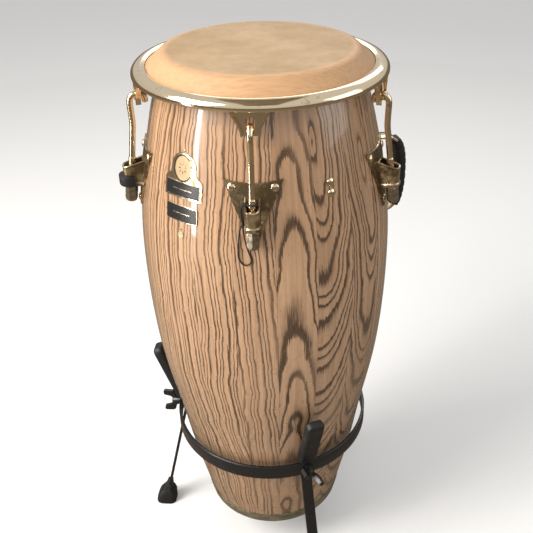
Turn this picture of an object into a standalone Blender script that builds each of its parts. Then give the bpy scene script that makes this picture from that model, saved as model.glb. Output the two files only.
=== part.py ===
"""A conga drum in its cradle stand, one object for each piece. Metres, +Z up, floor at z = 0.

The drum's pieces are built in the drum's own frame: z = 0 at the shell's bottom edge and the
axis at x = y = 0. The stand's pieces are built from the floor up. A piece that repeats round
the axis is built at the front, facing -Y, and is turned to its azimuth, which counts from
-Y towards +X.
"""

import math

import bmesh
import bpy
from mathutils import Matrix, Vector

# Place of the drum's axis, off the middle of the footprint because the feet and the handle
# stand out unevenly, and the height of the drum's bottom edge over the floor.
AXIS_X = 0.0049
AXIS_Y = 0.0155
DRUM_LIFT = 0.080
GAP = 0.0003

# Shell: outer radius against height, and the wall.
DRUM_HEIGHT = 0.762
SHELL_OUTLINE = (
    (0.000, 0.1066), (0.100, 0.1291), (0.200, 0.1464), (0.320, 0.1673),
    (0.450, 0.1755), (0.560, 0.1710), (0.680, 0.1486), (0.756, 0.1264),
)
SHELL_WALL = 0.0115
SHELL_SIDES = 36
OUTSIDE_LEVELS = (0.0, 0.090, 0.190, 0.290, 0.380, 0.460, 0.530, 0.590, 0.645, 0.700)
BEARING_EDGE = ((0.1262, 0.7560), (0.1245, 0.7590), (0.1215, 0.7597), (0.1172, 0.7585))
INSIDE_LEVELS = (0.700, 0.645, 0.590, 0.530, 0.460, 0.350, 0.200, 0.0)
BACKING_OFFSET = -SHELL_WALL - 0.0019
BACKING_THICKNESS = 0.0020
BAND_HEIGHT = 0.020
BAND_THICKNESS = 0.0012

# Head: the flat face, its collar and the hoop that it is wrapped round.
FACE_RADIUS = 0.1225
COLLAR_TOP = (0.1292, 0.7596)
COLLAR_ANGLE = math.radians(41.0)
SKIN_THICKNESS = 0.0017
HOOP_CENTRE = (0.1512, 0.7339)
HOOP_RADIUS = 0.0027
HOOP_WRAP = 0.0050
HOOP_SIDES = 5
WRAP_TURNS = (49, 5, -45, -90, -115)
HEAD_SHOULDER = ((FACE_RADIUS, DRUM_HEIGHT), (0.1262, 0.7613))
HEAD_SHOULDER_INSIDE = ((0.1281, 0.7584), (0.1255, 0.7597))

# Tension rim and its ears.
RIM_SIDES = 36
RIM_OUTLINE = (
    (0.1486, 0.7436), (0.1500, 0.7453), (0.1545, 0.7463), (0.1590, 0.7454), (0.1632, 0.7431),
    (0.1660, 0.7394), (0.1667, 0.7360), (0.1655, 0.7330), (0.1590, 0.7323), (0.1570, 0.7366),
)
EAR_LEVELS = ((0.7035, 0.0108), (0.7130, 0.0125), (0.7240, 0.0180), (0.7360, 0.0250))
EAR_PLATE = (0.1585, 0.1613)
EAR_FLANGE_EDGE = 0.1652
EAR_FLANGE = 0.0022
EAR_SLOT_ARC_STEPS = 4
EAR_SLOT_REACH = (0.150, 0.164)
EAR_SLOT_WIDTH = 0.0108
EAR_SLOT_CENTRE = 0.7181
EAR_SLOT_HALF_HEIGHT = 0.0086

# Tension lugs: five round the drum, each with a plate, a hooked rod and a nut.
LUG_AZIMUTHS = (-77.0, -5.0, 67.0, 139.0, 211.0)
SHELF_RADIUS = 0.1818
SHELF_HEIGHT = 0.5925
ROD_TILT = math.radians(7.1)
ROD_RADIUS = 0.0040
SLEEVE_RADIUS = 0.0047
ROD_SIDES = 6
THREAD_BELOW_SHELF = 0.0220
ROD_STRAIGHT = 0.0710
SLEEVE_SPAN = (0.0060, 0.0377)
SLEEVE_STEP = 0.0004
ROD_BEND = (
    (0.1716, 0.6740), (0.1716, 0.6880), (0.1720, 0.7020), (0.1713, 0.7080), (0.1690, 0.7122),
    (0.1655, 0.7145), (0.1580, 0.7143), (0.1540, 0.7120), (0.1526, 0.7075), (0.1526, 0.7030),
)
BORE_SIDES = 8
WASHER_RADIUS = 0.0085
WASHER_THICKNESS = 0.0014
NUT_FLATS = 0.0144
NUT_LENGTH = 0.0225
NUT_LEVELS = ((0.0, 1.0), (0.78, 1.0), (0.92, 0.88), (1.0, 0.70))
BORE_RADIUS = 0.0046

PLATE_TIP = 0.5615
PLATE_TOP = 0.6465
PLATE_TIP_HALF_WIDTH = 0.0030
PLATE_HALF_WIDTH = 0.0360
PLATE_FLARE = 1.06
PLATE_ROWS = 5
PLATE_THICKNESS = 0.0022
PLATE_DIP = 0.0040
LUG_BACKING_ROWS = ((0.566, 0.006), (0.600, 0.018), (0.643, 0.031))
PLATE_BOLT_SIDE = 0.0257
PLATE_BOLT_TOP = 0.6370
PLATE_BOLT_BOTTOM = 0.5715
BOLT_HEAD_RADIUS = 0.0055
BOLT_HEAD_HEIGHT = 0.0024
BOLT_SHANK = 0.0026
BOLT_HOLE = 0.0030
BOLT_HOLE_DEPTH = 0.030
BOLT_SIDES = 6

# Pocket of each plate: half of its plan as (across, radius), its walls, floor and flared lip.
POCKET_HALF_PLAN = ((0.0090, 0.1830), (0.0072, 0.1885), (0.0038, 0.1908))
POCKET_ROOT_HALF = 0.0098
POCKET_ROOT_OVERLAP = 0.0015
POCKET_WALL = 0.0018
POCKET_TOP_AT_PLATE = 0.6260
POCKET_TOP_SLOPE = -0.25
POCKET_OPEN_TOP = 0.010
SHELF_THICKNESS = 0.0028
LIP_FLARE = 0.0012
LIP_HEIGHT = 0.0040

# Rubber bumper round the pocket of one lug only.
BUMPER_LUG = 1
BUMPER_THICKNESS = 0.0065
BUMPER_SIDE = 0.0036
BUMPER_EDGE = 0.0012
BUMPER_ENDS = 0.1775
BUMPER_HEIGHT = 0.0135

# Handle: a bent strap with a rubber grip, on the drum's right-hand side.
HANDLE_AZIMUTH = 103.0
HANDLE_WIDTH = 0.0220
HANDLE_THICKNESS = 0.0032
HANDLE_FLANGES = ((0.6440, 0.6190), (0.4995, 0.4745))
HANDLE_BOW = (
    (0.1780, 0.6165), (0.1865, 0.6150), (0.1935, 0.6095), (0.1985, 0.6000), (0.2018, 0.5830),
    (0.2028, 0.5600), (0.2018, 0.5370), (0.1985, 0.5190), (0.1935, 0.5090), (0.1865, 0.5035),
    (0.1800, 0.5020),
)
HANDLE_BOLT_HEIGHTS = (0.6340, 0.4845)
HANDLE_BACKING_ROWS = ((0.4745, 0.008), (0.532, 0.008), (0.589, 0.008), (0.644, 0.008))
GRIP_HALF_DEPTH = 0.0064
GRIP_HALF_WIDTH = 0.0135
GRIP_CORNER = 0.0048
GRIP_END_SHARE = 0.80

# Badges and the spare bolts.
BADGE_AZIMUTH = -38.6
BADGE_ROWS = (
    (0.6110, 0.0300), (0.6330, 0.0300), (0.6360, 0.0280), (0.6400, 0.0215),
    (0.6480, 0.0195), (0.6560, 0.0175), (0.6630, 0.0130), (0.6690, 0.0050),
)
BADGE_THICKNESS = 0.0010
NAMEPLATE_ROWS = ((0.5810, 0.0250), (0.6020, 0.0250))
DISC_HEIGHT = 0.5628
DISC_RADIUS = 0.0045
DISC_SIDES = 12
SPARE_BOLT_AZIMUTH = 30.0
SPARE_BOLT_HEIGHTS = (0.6320, 0.6185)
SPARE_BACKING_ROWS = ((0.6100, 0.006), (0.6400, 0.006))

# Stand: a flat hoop, three bent bars clamped inside it, rubber sleeves and boots.
LEG_AZIMUTHS = (19.3, -97.0, 140.0)
STAND_HOOP_OUTER = 0.1530
STAND_HOOP_INNER = 0.1485
STAND_HOOP_BOTTOM = 0.2270
STAND_HOOP_TOP = 0.2500
STAND_HOOP_SIDES = 48
BAR_THICKNESS = 0.0042
BAR_WIDTH = 0.0168
BAR_RADIUS = 0.1455
BAR_LOWER_BEND = 0.2250
BAR_UPPER_BEND = 0.2540
BAR_FOOT_HEIGHT = 0.0090
LEG_SPLAY = math.radians(13.5)
ARM_LEAN = math.radians(19.0)
ARM_LENGTH = 0.0980
PAD_INNER_WALL = 0.0024
PAD_OUTER_WALL = 0.0082
PAD_HALF_WIDTH = 0.0135
PAD_END = 0.1050
PAD_START_INNER = 0.0085
PAD_START_OUTER = 0.0021
PAD_CORNER = 0.0045
PAD_LEVELS = ((0.030, 1.0), (PAD_END - 0.006, 1.0), (PAD_END - 0.0015, 0.88), (PAD_END, 0.70))
BOOT_LEVELS = (
    (0.000, 0.0150, 0.0165), (0.003, 0.0158, 0.0173), (0.018, 0.0150, 0.0155),
    (0.025, 0.0135, 0.0120), (0.031, 0.0120, 0.0070), (0.042, 0.0113, 0.0048),
)
WING_BOLT_ROLLS = (-45.0, 0.0, -25.0)
WING_BOLT_SHAFT = 0.0030
WING_BOLT_OUTLINE = (
    (0.0035, 0.0062), (0.0080, 0.0090), (0.0100, 0.0165), (0.0130, 0.0200),
    (0.0270, 0.0205), (0.0290, 0.0180), (0.0280, 0.0125), (0.0180, 0.0095), (0.0130, 0.0062),
)
WING_HALF_THICKNESS = 0.0028
WING_BOLT_HUB = (
    (0, -0.0092), (WING_BOLT_SHAFT, -0.0092), (WING_BOLT_SHAFT, 0.0004), (0.0068, 0.0004),
    (0.0068, 0.0120), (0.0052, 0.0150), (0, 0.0155),
)

# Hanging cord: a wrap round the second lug's rod, just over the pocket, and a loop that hangs
# from it, given as azimuth in degrees, height, and distance out from the shell.
CORD_LUG = 2
CORD_RADIUS = 0.0009
CORD_STEPS = 12
CORD_SPACING = 0.0045
WRAP_ALONG_ROD = 0.03225
WRAP_RADIUS = 0.0060
WRAP_SIDES = 16
CORD_POINTS = (
    (-7.32, 0.6247, 0.0158), (-7.92, 0.6250, 0.0160), (-8.57, 0.6242, 0.0158),
    (-9.10, 0.6217, 0.0150), (-9.38, 0.6175, 0.0134), (-9.49, 0.6115, 0.0105),
    (-9.52, 0.6050, 0.0071), (-9.55, 0.5985, 0.0046), (-9.80, 0.5925, 0.0042),
    (-10.75, 0.5838, 0.0040), (-11.25, 0.5728, 0.0024), (-11.60, 0.5616, 0.0014),
    (-11.70, 0.5520, 0.0013), (-11.20, 0.5446, 0.0013), (-9.85, 0.5396, 0.0013),
    (-8.25, 0.5384, 0.0013), (-7.00, 0.5406, 0.0013), (-6.35, 0.5440, 0.0013),
    (-6.55, 0.5488, 0.0013), (-7.40, 0.5568, 0.0016), (-8.15, 0.5646, 0.0020),
    (-8.65, 0.5728, 0.0030), (-9.05, 0.5822, 0.0046), (-9.25, 0.5880, 0.0058),
    (-9.40, 0.5940, 0.0070), (-9.50, 0.6000, 0.0084), (-9.45, 0.6065, 0.0113),
    (-9.42, 0.6135, 0.0150), (-9.28, 0.6180, 0.0177), (-9.01, 0.6215, 0.0191),
    (-8.50, 0.6240, 0.0197), (-7.86, 0.6248, 0.0197), (-7.23, 0.6244, 0.0194),
)


# ---------------------------------------------------------------- shapes

def polar(radius, azimuth, height):
    """A point at an azimuth in degrees, counted from -Y towards +X."""
    angle = math.radians(azimuth)
    return Vector((radius * math.sin(angle), -radius * math.cos(angle), height))


def curve_value(knots, place):
    """A smooth curve through (place, value) knots: cubic pieces with the knots' mean slopes."""
    last = len(knots) - 1
    slopes = []
    for index in range(last + 1):
        before = knots[max(index - 1, 0)]
        after = knots[min(index + 1, last)]
        slopes.append((after[1] - before[1]) / (after[0] - before[0]))
    index = 0
    while index < last - 1 and place > knots[index + 1][0]:
        index += 1
    start, end = knots[index], knots[index + 1]
    span = end[0] - start[0]
    share = (place - start[0]) / span
    rise = share * share * (3 - 2 * share)
    out = share * (1 - share) ** 2 * slopes[index] * span
    into = share * share * (share - 1) * slopes[index + 1] * span
    return start[1] + (end[1] - start[1]) * rise + out + into


def shell_radius(height):
    return curve_value(SHELL_OUTLINE, height)


def on_shell(azimuth, height, offset=0.0):
    """A frame on the shell's outside: X along the girth, Z straight out of the surface."""
    step = 0.002
    slope = (shell_radius(height + step) - shell_radius(height - step)) / (2 * step)
    lean = math.atan(slope)
    turn = Matrix.Rotation(math.radians(azimuth), 4, "Z")
    outward = Matrix.Rotation(math.pi / 2 + lean, 4, "X")
    place = Matrix.Translation((0, -shell_radius(height), height))
    return turn @ place @ outward @ Matrix.Translation((0, 0, offset))


def mesh_from(vertices, faces):
    """A mesh with its faces turned outwards."""
    form = bmesh.new()
    points = [form.verts.new(vertex) for vertex in vertices]
    for face in faces:
        form.faces.new([points[index] for index in face])
    bmesh.ops.recalc_face_normals(form, faces=form.faces)
    mesh = bpy.data.meshes.new("piece")
    form.to_mesh(mesh)
    form.free()
    return mesh


def loft(rings, closed=False, strip=False):
    """A solid through rings of equal count. strip caps a flat ring of two facing rows."""
    count = len(rings[0])
    vertices = [point for ring in rings for point in ring]
    faces = []
    for level in range(len(rings) if closed else len(rings) - 1):
        low = level * count
        high = (level + 1) % len(rings) * count
        for index in range(count):
            after = (index + 1) % count
            faces.append((low + index, low + after, high + after, high + index))
    if not closed:
        for start in (0, (len(rings) - 1) * count):
            if strip:
                for index in range(count // 2 - 1):
                    far = count - 1 - index
                    faces.append((start + index, start + index + 1, start + far - 1, start + far))
            else:
                faces.append(range(start, start + count))
    return mesh_from(vertices, faces)


def turned(outline, sides):
    """A closed (radius, height) outline turned about Z. Points on the axis become one point."""
    vertices = []
    rows = []
    for radius, height in outline:
        if radius == 0:
            rows.append([len(vertices)] * sides)
            vertices.append((0, 0, height))
            continue
        rows.append(list(range(len(vertices), len(vertices) + sides)))
        for side in range(sides):
            vertices.append(polar(radius, 360 * side / sides, height))
    faces = []
    for row, after in zip(rows, rows[1:] + rows[:1]):
        for side in range(sides):
            other = (side + 1) % sides
            corners = [row[side], row[other], after[other], after[side]]
            face = [c for n, c in enumerate(corners) if c not in corners[:n]]
            if len(face) > 2:
                faces.append(face)
    return mesh_from(vertices, faces)


def prism(outline, half_width):
    """A (distance out, height) outline in the front's upright plane, widened along X."""
    rings = []
    for side in (-half_width, half_width):
        rings.append([(side, -radius, height) for radius, height in outline])
    return loft(rings)


def strap_outline(path, half_thickness):
    """The outline of a strip of even thickness that follows a path, mitred at its bends."""
    left, right = [], []
    for index, point in enumerate(path):
        before = Vector(path[max(index - 1, 0)])
        after = Vector(path[min(index + 1, len(path) - 1)])
        point = Vector(point)
        into = (point - before).normalized() if index else (after - point).normalized()
        out = (after - point).normalized() if index < len(path) - 1 else into
        along = (into + out).normalized()
        side = Vector((-along.y, along.x)) * (half_thickness / max(along.dot(out), 0.5))
        left.append(tuple(point + side))
        right.append(tuple(point - side))
    return left + right[::-1]


def round_bar(path, radii, sides):
    """A round bar along a path of (distance out, height) points in the front's plane."""
    rings = []
    for index, (point, radius) in enumerate(zip(path, radii)):
        before = Vector(path[max(index - 1, 0)])
        after = Vector(path[min(index + 1, len(path) - 1)])
        along = (after - before).normalized()
        ring = []
        for side in range(sides):
            angle = 2 * math.pi * (side + 0.5) / sides
            out = radius * math.cos(angle)
            across = radius * math.sin(angle)
            ring.append((across, -(point[0] - along.y * out), point[1] + along.x * out))
        rings.append(ring)
    return loft(rings)


def patch(azimuth, rows, low, high, columns=6, dip=0.0):
    """A plate that follows the shell: rows of (height, half width), between two offsets."""
    rings = []
    for level, (height, half_width) in enumerate(rows):
        share = level / (len(rows) - 1)
        faces = []
        for offset in (high, low):
            line = []
            for column in range(columns + 1):
                across = 2 * column / columns - 1
                lowered = height - dip * share ** 3 * (1 - across * across)
                radius = shell_radius(lowered)
                turn = math.degrees(across * half_width / radius)
                line.append(polar(radius + offset, azimuth + turn, lowered))
            faces.append(line)
        rings.append(faces[0] + faces[1][::-1])
    return loft(rings, strip=True)


def rounded_ring(half_x, half_out, corner, place):
    """Twelve points round a rectangle with cut corners; place maps (x, outward) to a point."""
    ring = []
    for sign_x, sign_y, order in ((1, 1, 1), (-1, 1, -1), (-1, -1, 1), (1, -1, -1)):
        cuts = [(half_x, half_out - corner), (half_x - 0.3 * corner, half_out - 0.3 * corner),
                (half_x - corner, half_out)]
        for x, out in cuts[::order]:
            ring.append(place(sign_x * x, sign_y * out))
    return ring


# ---------------------------------------------------------------- objects

def finish_of(name, colour, roughness, metallic=0.0, coat=0.0):
    material = bpy.data.materials.get(name)
    if material is None:
        material = bpy.data.materials.new(name)
        material.use_nodes = True
        shader = material.node_tree.nodes["Principled BSDF"]
        shader.inputs["Base Color"].default_value = (*colour, 1.0)
        shader.inputs["Roughness"].default_value = roughness
        shader.inputs["Metallic"].default_value = metallic
        shader.inputs["Coat Weight"].default_value = coat
        material.diffuse_color = (*colour, 1.0)
    return material


def wood():
    return finish_of("lacquered_ash", (0.56, 0.36, 0.20), 0.30, coat=1.0)


def hide():
    return finish_of("rawhide", (0.68, 0.46, 0.25), 0.55)


def gold():
    return finish_of("pale_gold_plate", (0.80, 0.70, 0.46), 0.18, metallic=1.0)


def rubber():
    return finish_of("black_rubber", (0.022, 0.021, 0.022), 0.60)


def black_paint():
    return finish_of("black_paint", (0.016, 0.016, 0.018), 0.35)


def band_finish():
    return finish_of("worn_band", (0.23, 0.21, 0.14), 0.60)


def badge_finish():
    return finish_of("badge_brass", (0.60, 0.48, 0.24), 0.30, metallic=0.8)


def disc_finish():
    return finish_of("disc_green", (0.42, 0.47, 0.22), 0.50)


def cord_finish():
    return finish_of("black_cord", (0.015, 0.015, 0.015), 0.80)


def place(name, mesh, material, parent, location=(0, 0, 0), rotation=(0, 0, 0)):
    mesh.name = name
    if not mesh.materials:
        mesh.materials.append(material)
    piece = bpy.data.objects.new(name, mesh)
    bpy.context.scene.collection.objects.link(piece)
    piece.parent = parent
    piece.location = location
    piece.rotation_euler = rotation
    mesh.shade_smooth()
    mesh.set_sharp_from_angle(angle=math.radians(35))
    return piece


def combined(first, joined=(), cut=()):
    """One mesh: the first with others joined on by Boolean unions, and cutters taken away."""
    helpers = []
    for mesh in (first, *joined, *cut):
        helper = bpy.data.objects.new("helper", mesh)
        helper.hide_render = True
        helper.display_type = "WIRE"
        bpy.context.scene.collection.objects.link(helper)
        helpers.append(helper)
    body = helpers[0]
    for index, helper in enumerate(helpers[1:]):
        change = body.modifiers.new("shape", "BOOLEAN")
        change.operation = "UNION" if index < len(joined) else "DIFFERENCE"
        change.solver = "EXACT"
        change.object = helper
    bpy.context.view_layer.update()
    graph = bpy.context.evaluated_depsgraph_get()
    result = bpy.data.meshes.new_from_object(body.evaluated_get(graph))
    for helper in helpers:
        bpy.data.objects.remove(helper)
    return result


def moved(mesh, matrix):
    mesh.transform(matrix)
    return mesh


def empty(name, location, parent=None):
    holder = bpy.data.objects.new(name, None)
    holder.location = location
    holder.parent = parent
    bpy.context.scene.collection.objects.link(holder)
    return holder


# ---------------------------------------------------------------- fasteners

def hole_cutter(azimuth, height):
    outline = (
        (0, -BOLT_HOLE_DEPTH), (BOLT_HOLE, -BOLT_HOLE_DEPTH), (BOLT_HOLE, 0.010), (0, 0.010),
    )
    return moved(turned(outline, BOLT_SIDES), on_shell(azimuth, height))


def domed_bolt(azimuth, height, seat):
    """A domed screw whose head sits this far out from the shell and whose shank goes inside."""
    inside = BACKING_OFFSET - BACKING_THICKNESS / 2
    outline = (
        (0, inside), (BOLT_SHANK, inside), (BOLT_SHANK, seat), (BOLT_HEAD_RADIUS, seat),
        (BOLT_HEAD_RADIUS * 0.85, seat + BOLT_HEAD_HEIGHT * 0.65), (0, seat + BOLT_HEAD_HEIGHT),
    )
    return moved(turned(outline, BOLT_SIDES), on_shell(azimuth, height))


def bolt_group(places, backing_rows, seat):
    """Screws through the front of the shell that share one backing plate inside, as one solid."""
    backing = patch(0, backing_rows, BACKING_OFFSET - BACKING_THICKNESS, BACKING_OFFSET, columns=4)
    bolts = [domed_bolt(turn, height, seat) for turn, height in places]
    return combined(backing, joined=bolts)


def lug_bolt_places(azimuth):
    side = math.degrees(PLATE_BOLT_SIDE / shell_radius(PLATE_BOLT_TOP))
    return (
        (azimuth - side, PLATE_BOLT_TOP), (azimuth + side, PLATE_BOLT_TOP),
        (azimuth, PLATE_BOLT_BOTTOM),
    )


# ---------------------------------------------------------------- the drum

def shell_mesh():
    outline = [(shell_radius(height), height) for height in OUTSIDE_LEVELS]
    outline += BEARING_EDGE
    outline += [(shell_radius(height) - SHELL_WALL, height) for height in INSIDE_LEVELS]
    holes = []
    for azimuth in LUG_AZIMUTHS:
        holes += [hole_cutter(*spot) for spot in lug_bolt_places(azimuth)]
    holes += [hole_cutter(HANDLE_AZIMUTH, height) for height in HANDLE_BOLT_HEIGHTS]
    holes += [hole_cutter(SPARE_BOLT_AZIMUTH, height) for height in SPARE_BOLT_HEIGHTS]
    return combined(turned(outline, SHELL_SIDES), cut=holes)


def bottom_band_mesh():
    inner = [(shell_radius(height) + GAP, height) for height in (0.0, BAND_HEIGHT)]
    outer = [(radius + BAND_THICKNESS, height) for radius, height in inner]
    return turned(outer + inner[::-1], SHELL_SIDES)


def collar_point(along, inward=0.0):
    """A point this far down the collar from its top, and this far under its outside."""
    down = Vector((math.cos(COLLAR_ANGLE), -math.sin(COLLAR_ANGLE)))
    normal = Vector((math.sin(COLLAR_ANGLE), math.cos(COLLAR_ANGLE)))
    return tuple(Vector(COLLAR_TOP) + down * along - normal * inward)


def skin_mesh():
    """The hide: flat face, collar, and its edge wrapped round the hoop, at an even thickness."""
    centre = Vector(HOOP_CENTRE)
    collar_length = (centre.x - COLLAR_TOP[0]) / math.cos(COLLAR_ANGLE) + 0.0040
    wrap = []
    for turn in WRAP_TURNS:
        wrap.append(Vector((math.cos(math.radians(turn)), math.sin(math.radians(turn)))))
    under = DRUM_HEIGHT - SKIN_THICKNESS
    outline = [(0, DRUM_HEIGHT), *HEAD_SHOULDER, collar_point(0), collar_point(collar_length * 0.5)]
    outline += [tuple(centre + HOOP_WRAP * way) for way in wrap]
    outline += [tuple(centre + (HOOP_WRAP - SKIN_THICKNESS) * way) for way in wrap[::-1]]
    outline += [collar_point(collar_length * 0.5, SKIN_THICKNESS), *HEAD_SHOULDER_INSIDE]
    outline += [(FACE_RADIUS, under), (0, under)]
    return turned(outline, RIM_SIDES)


def flesh_hoop_mesh():
    outline = []
    for side in range(HOOP_SIDES):
        angle = 2 * math.pi * side / HOOP_SIDES
        outline.append((
            HOOP_CENTRE[0] + HOOP_RADIUS * math.cos(angle),
            HOOP_CENTRE[1] + HOOP_RADIUS * math.sin(angle),
        ))
    return turned(outline, RIM_SIDES)


def ear_mesh(azimuth):
    """A flanged ear that hangs from the rim, wide at the top."""
    inner, outer = EAR_PLATE
    rings = []
    for height, half_width in EAR_LEVELS:
        right = [
            (half_width, inner), (half_width, EAR_FLANGE_EDGE),
            (half_width - EAR_FLANGE, EAR_FLANGE_EDGE), (half_width - EAR_FLANGE, outer),
        ]
        ring = []
        for across, radius in right + [(-across, radius) for across, radius in right[::-1]]:
            ring.append(polar(radius, azimuth + math.degrees(across / inner), height))
        rings.append(ring)
    return loft(rings)


def ear_slot_cutter(azimuth):
    """An arched slot through an ear, for the rod's hook."""
    half = EAR_SLOT_WIDTH / 2
    straight = EAR_SLOT_HALF_HEIGHT - half
    outline = []
    for end, lift in ((0, straight), (180, -straight)):
        for step in range(EAR_SLOT_ARC_STEPS + 1):
            angle = math.radians(end + 180 * step / EAR_SLOT_ARC_STEPS)
            height = EAR_SLOT_CENTRE + lift + half * math.sin(angle)
            outline.append((half * math.cos(angle), height))
    rings = []
    for radius in EAR_SLOT_REACH:
        rings.append([(across, -radius, height) for across, height in outline])
    return moved(loft(rings), Matrix.Rotation(math.radians(azimuth), 4, "Z"))


def rim_mesh():
    ears = [ear_mesh(azimuth) for azimuth in LUG_AZIMUTHS]
    slots = [ear_slot_cutter(azimuth) for azimuth in LUG_AZIMUTHS]
    return combined(turned(RIM_OUTLINE, RIM_SIDES), joined=ears, cut=slots)


# ---------------------------------------------------------------- tension lugs

def shelf_height(radius):
    """Height of the shelf's underside, which is square to the leaning rod."""
    return SHELF_HEIGHT + (radius - SHELF_RADIUS) * math.tan(ROD_TILT)


def pocket_top(radius):
    return POCKET_TOP_AT_PLATE + (radius - shell_radius(POCKET_TOP_AT_PLATE)) * POCKET_TOP_SLOPE


def spread(plan, distance):
    """A plan of (across, radius) points moved outwards, square to its own line at each point."""
    points = []
    for index, (across, radius) in enumerate(plan):
        before, after = plan[max(index - 1, 0)], plan[min(index + 1, len(plan) - 1)]
        along = Vector((after[0] - before[0], after[1] - before[1])).normalized()
        points.append((across + along.y * distance, radius - along.x * distance))
    return points


def pocket_ring(root_height, root_offset, widening, height_at):
    """The pocket's plan, rooted in the plate at this height, with a height for each radius."""
    half = [(POCKET_ROOT_HALF, shell_radius(root_height) + root_offset), *POCKET_HALF_PLAN]
    plan = half + [(-across, radius) for across, radius in half[::-1]]
    return [(across, -radius, height_at(radius)) for across, radius in spread(plan, widening)]


def pocket_mesh():
    """The solid pocket: a flared lip at its foot, then straight walls to its sloping top."""
    rings = []
    for rise, widening in ((0.0, LIP_FLARE), (LIP_HEIGHT, LIP_FLARE), (LIP_HEIGHT + LIP_FLARE, 0.0)):

        def height_at(radius, rise=rise):
            return shelf_height(radius) + rise

        rings.append(pocket_ring(SHELF_HEIGHT + rise, POCKET_ROOT_OVERLAP, widening, height_at))
    rings.append(pocket_ring(POCKET_TOP_AT_PLATE, POCKET_ROOT_OVERLAP, 0.0, pocket_top))
    return loft(rings)


def hollow_mesh():
    """The space inside the pocket, open at its top."""
    root = PLATE_THICKNESS + 2 * GAP

    def floor_at(radius):
        return shelf_height(radius) + SHELF_THICKNESS

    def over_top(radius):
        return pocket_top(radius) + POCKET_OPEN_TOP

    return loft([
        pocket_ring(SHELF_HEIGHT, root, -POCKET_WALL, floor_at),
        pocket_ring(POCKET_TOP_AT_PLATE, root, -POCKET_WALL, over_top),
    ])


def side_plate_mesh():
    rows = []
    for level in range(PLATE_ROWS):
        share = level / (PLATE_ROWS - 1)
        height = PLATE_TIP + (PLATE_TOP - PLATE_TIP) * share
        widening = (PLATE_HALF_WIDTH - PLATE_TIP_HALF_WIDTH) * share ** PLATE_FLARE
        rows.append((height, PLATE_TIP_HALF_WIDTH + widening))
    plate = patch(0, rows, GAP, GAP + PLATE_THICKNESS, columns=4, dip=PLATE_DIP)
    bore = moved(bore_cutter(), rod_frame())
    bolts = [hole_cutter(*spot) for spot in lug_bolt_places(0)]
    return combined(plate, joined=[pocket_mesh()], cut=[hollow_mesh(), bore, *bolts])


def bore_cutter():
    outline = ((0, -0.030), (BORE_RADIUS, -0.030), (BORE_RADIUS, 0.010), (0, 0.010))
    return turned(outline, BORE_SIDES)


def rod_frame():
    """The rod's axis: origin under the shelf, Z up along the rod."""
    return Matrix.Translation((0, -SHELF_RADIUS, SHELF_HEIGHT)) @ Matrix.Rotation(-ROD_TILT, 4, "X")


def rod_mesh():
    """A hooked rod, with its origin where its axis meets the shelf."""
    path, radii = [], []
    start, end = SLEEVE_SPAN
    marks = (
        (-THREAD_BELOW_SHELF, ROD_RADIUS), (start, ROD_RADIUS), (start + SLEEVE_STEP, SLEEVE_RADIUS),
        (end, SLEEVE_RADIUS), (end + SLEEVE_STEP, ROD_RADIUS), (ROD_STRAIGHT, ROD_RADIUS),
    )
    for along, radius in marks:
        path.append((-along * math.sin(ROD_TILT), along * math.cos(ROD_TILT)))
        radii.append(radius)
    for radius, height in ROD_BEND:
        path.append((radius - SHELF_RADIUS, height - SHELF_HEIGHT))
        radii.append(ROD_RADIUS)
    return round_bar(path, radii, ROD_SIDES)


def washer_mesh():
    top = -GAP
    outline = (
        (BORE_RADIUS, top), (WASHER_RADIUS, top), (WASHER_RADIUS, top - WASHER_THICKNESS),
        (BORE_RADIUS, top - WASHER_THICKNESS),
    )
    return turned(outline, BORE_SIDES)


def nut_mesh():
    """A long hex nut with a rounded lower end, hanging from its origin under the washer."""
    top = -WASHER_THICKNESS - 2 * GAP
    corner = NUT_FLATS / 2 / math.cos(math.pi / 6)
    rings = []
    for down, share in NUT_LEVELS:
        rings.append([polar(corner * share, 60 * side, top - NUT_LENGTH * down) for side in range(6)])
    return combined(loft(rings), cut=[bore_cutter()])


def bumper_mesh():
    """A rubber guard round the foot of the pocket, thickest in front."""
    clear = GAP + 0.0001
    half = [(POCKET_HALF_PLAN[0][0] + clear, BUMPER_ENDS), *POCKET_HALF_PLAN]
    plan = half + [(-across, radius) for across, radius in half[::-1]]
    front = POCKET_HALF_PLAN[-1][1]
    thickness = []
    for _, radius in plan:
        share = (radius - BUMPER_ENDS) / (front - BUMPER_ENDS)
        thickness.append(BUMPER_SIDE + (BUMPER_THICKNESS - BUMPER_SIDE) * share)
    lip = LIP_FLARE + clear
    section = (
        (0.0, lip, 0), (BUMPER_EDGE, 0, 1), (BUMPER_HEIGHT - BUMPER_EDGE, 0, 1), (BUMPER_HEIGHT, clear, 0),
        (LIP_HEIGHT + LIP_FLARE + 2 * clear, clear, 0), (LIP_HEIGHT + clear, lip, 0),
    )
    rings = [[] for _ in plan]
    for rise, distance, share in section:
        for index, (_, radius) in enumerate(plan):
            x, out = spread(plan, distance + share * thickness[index])[index]
            rings[index].append((x, -out, shelf_height(radius) + rise))
    return loft(rings)


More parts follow.
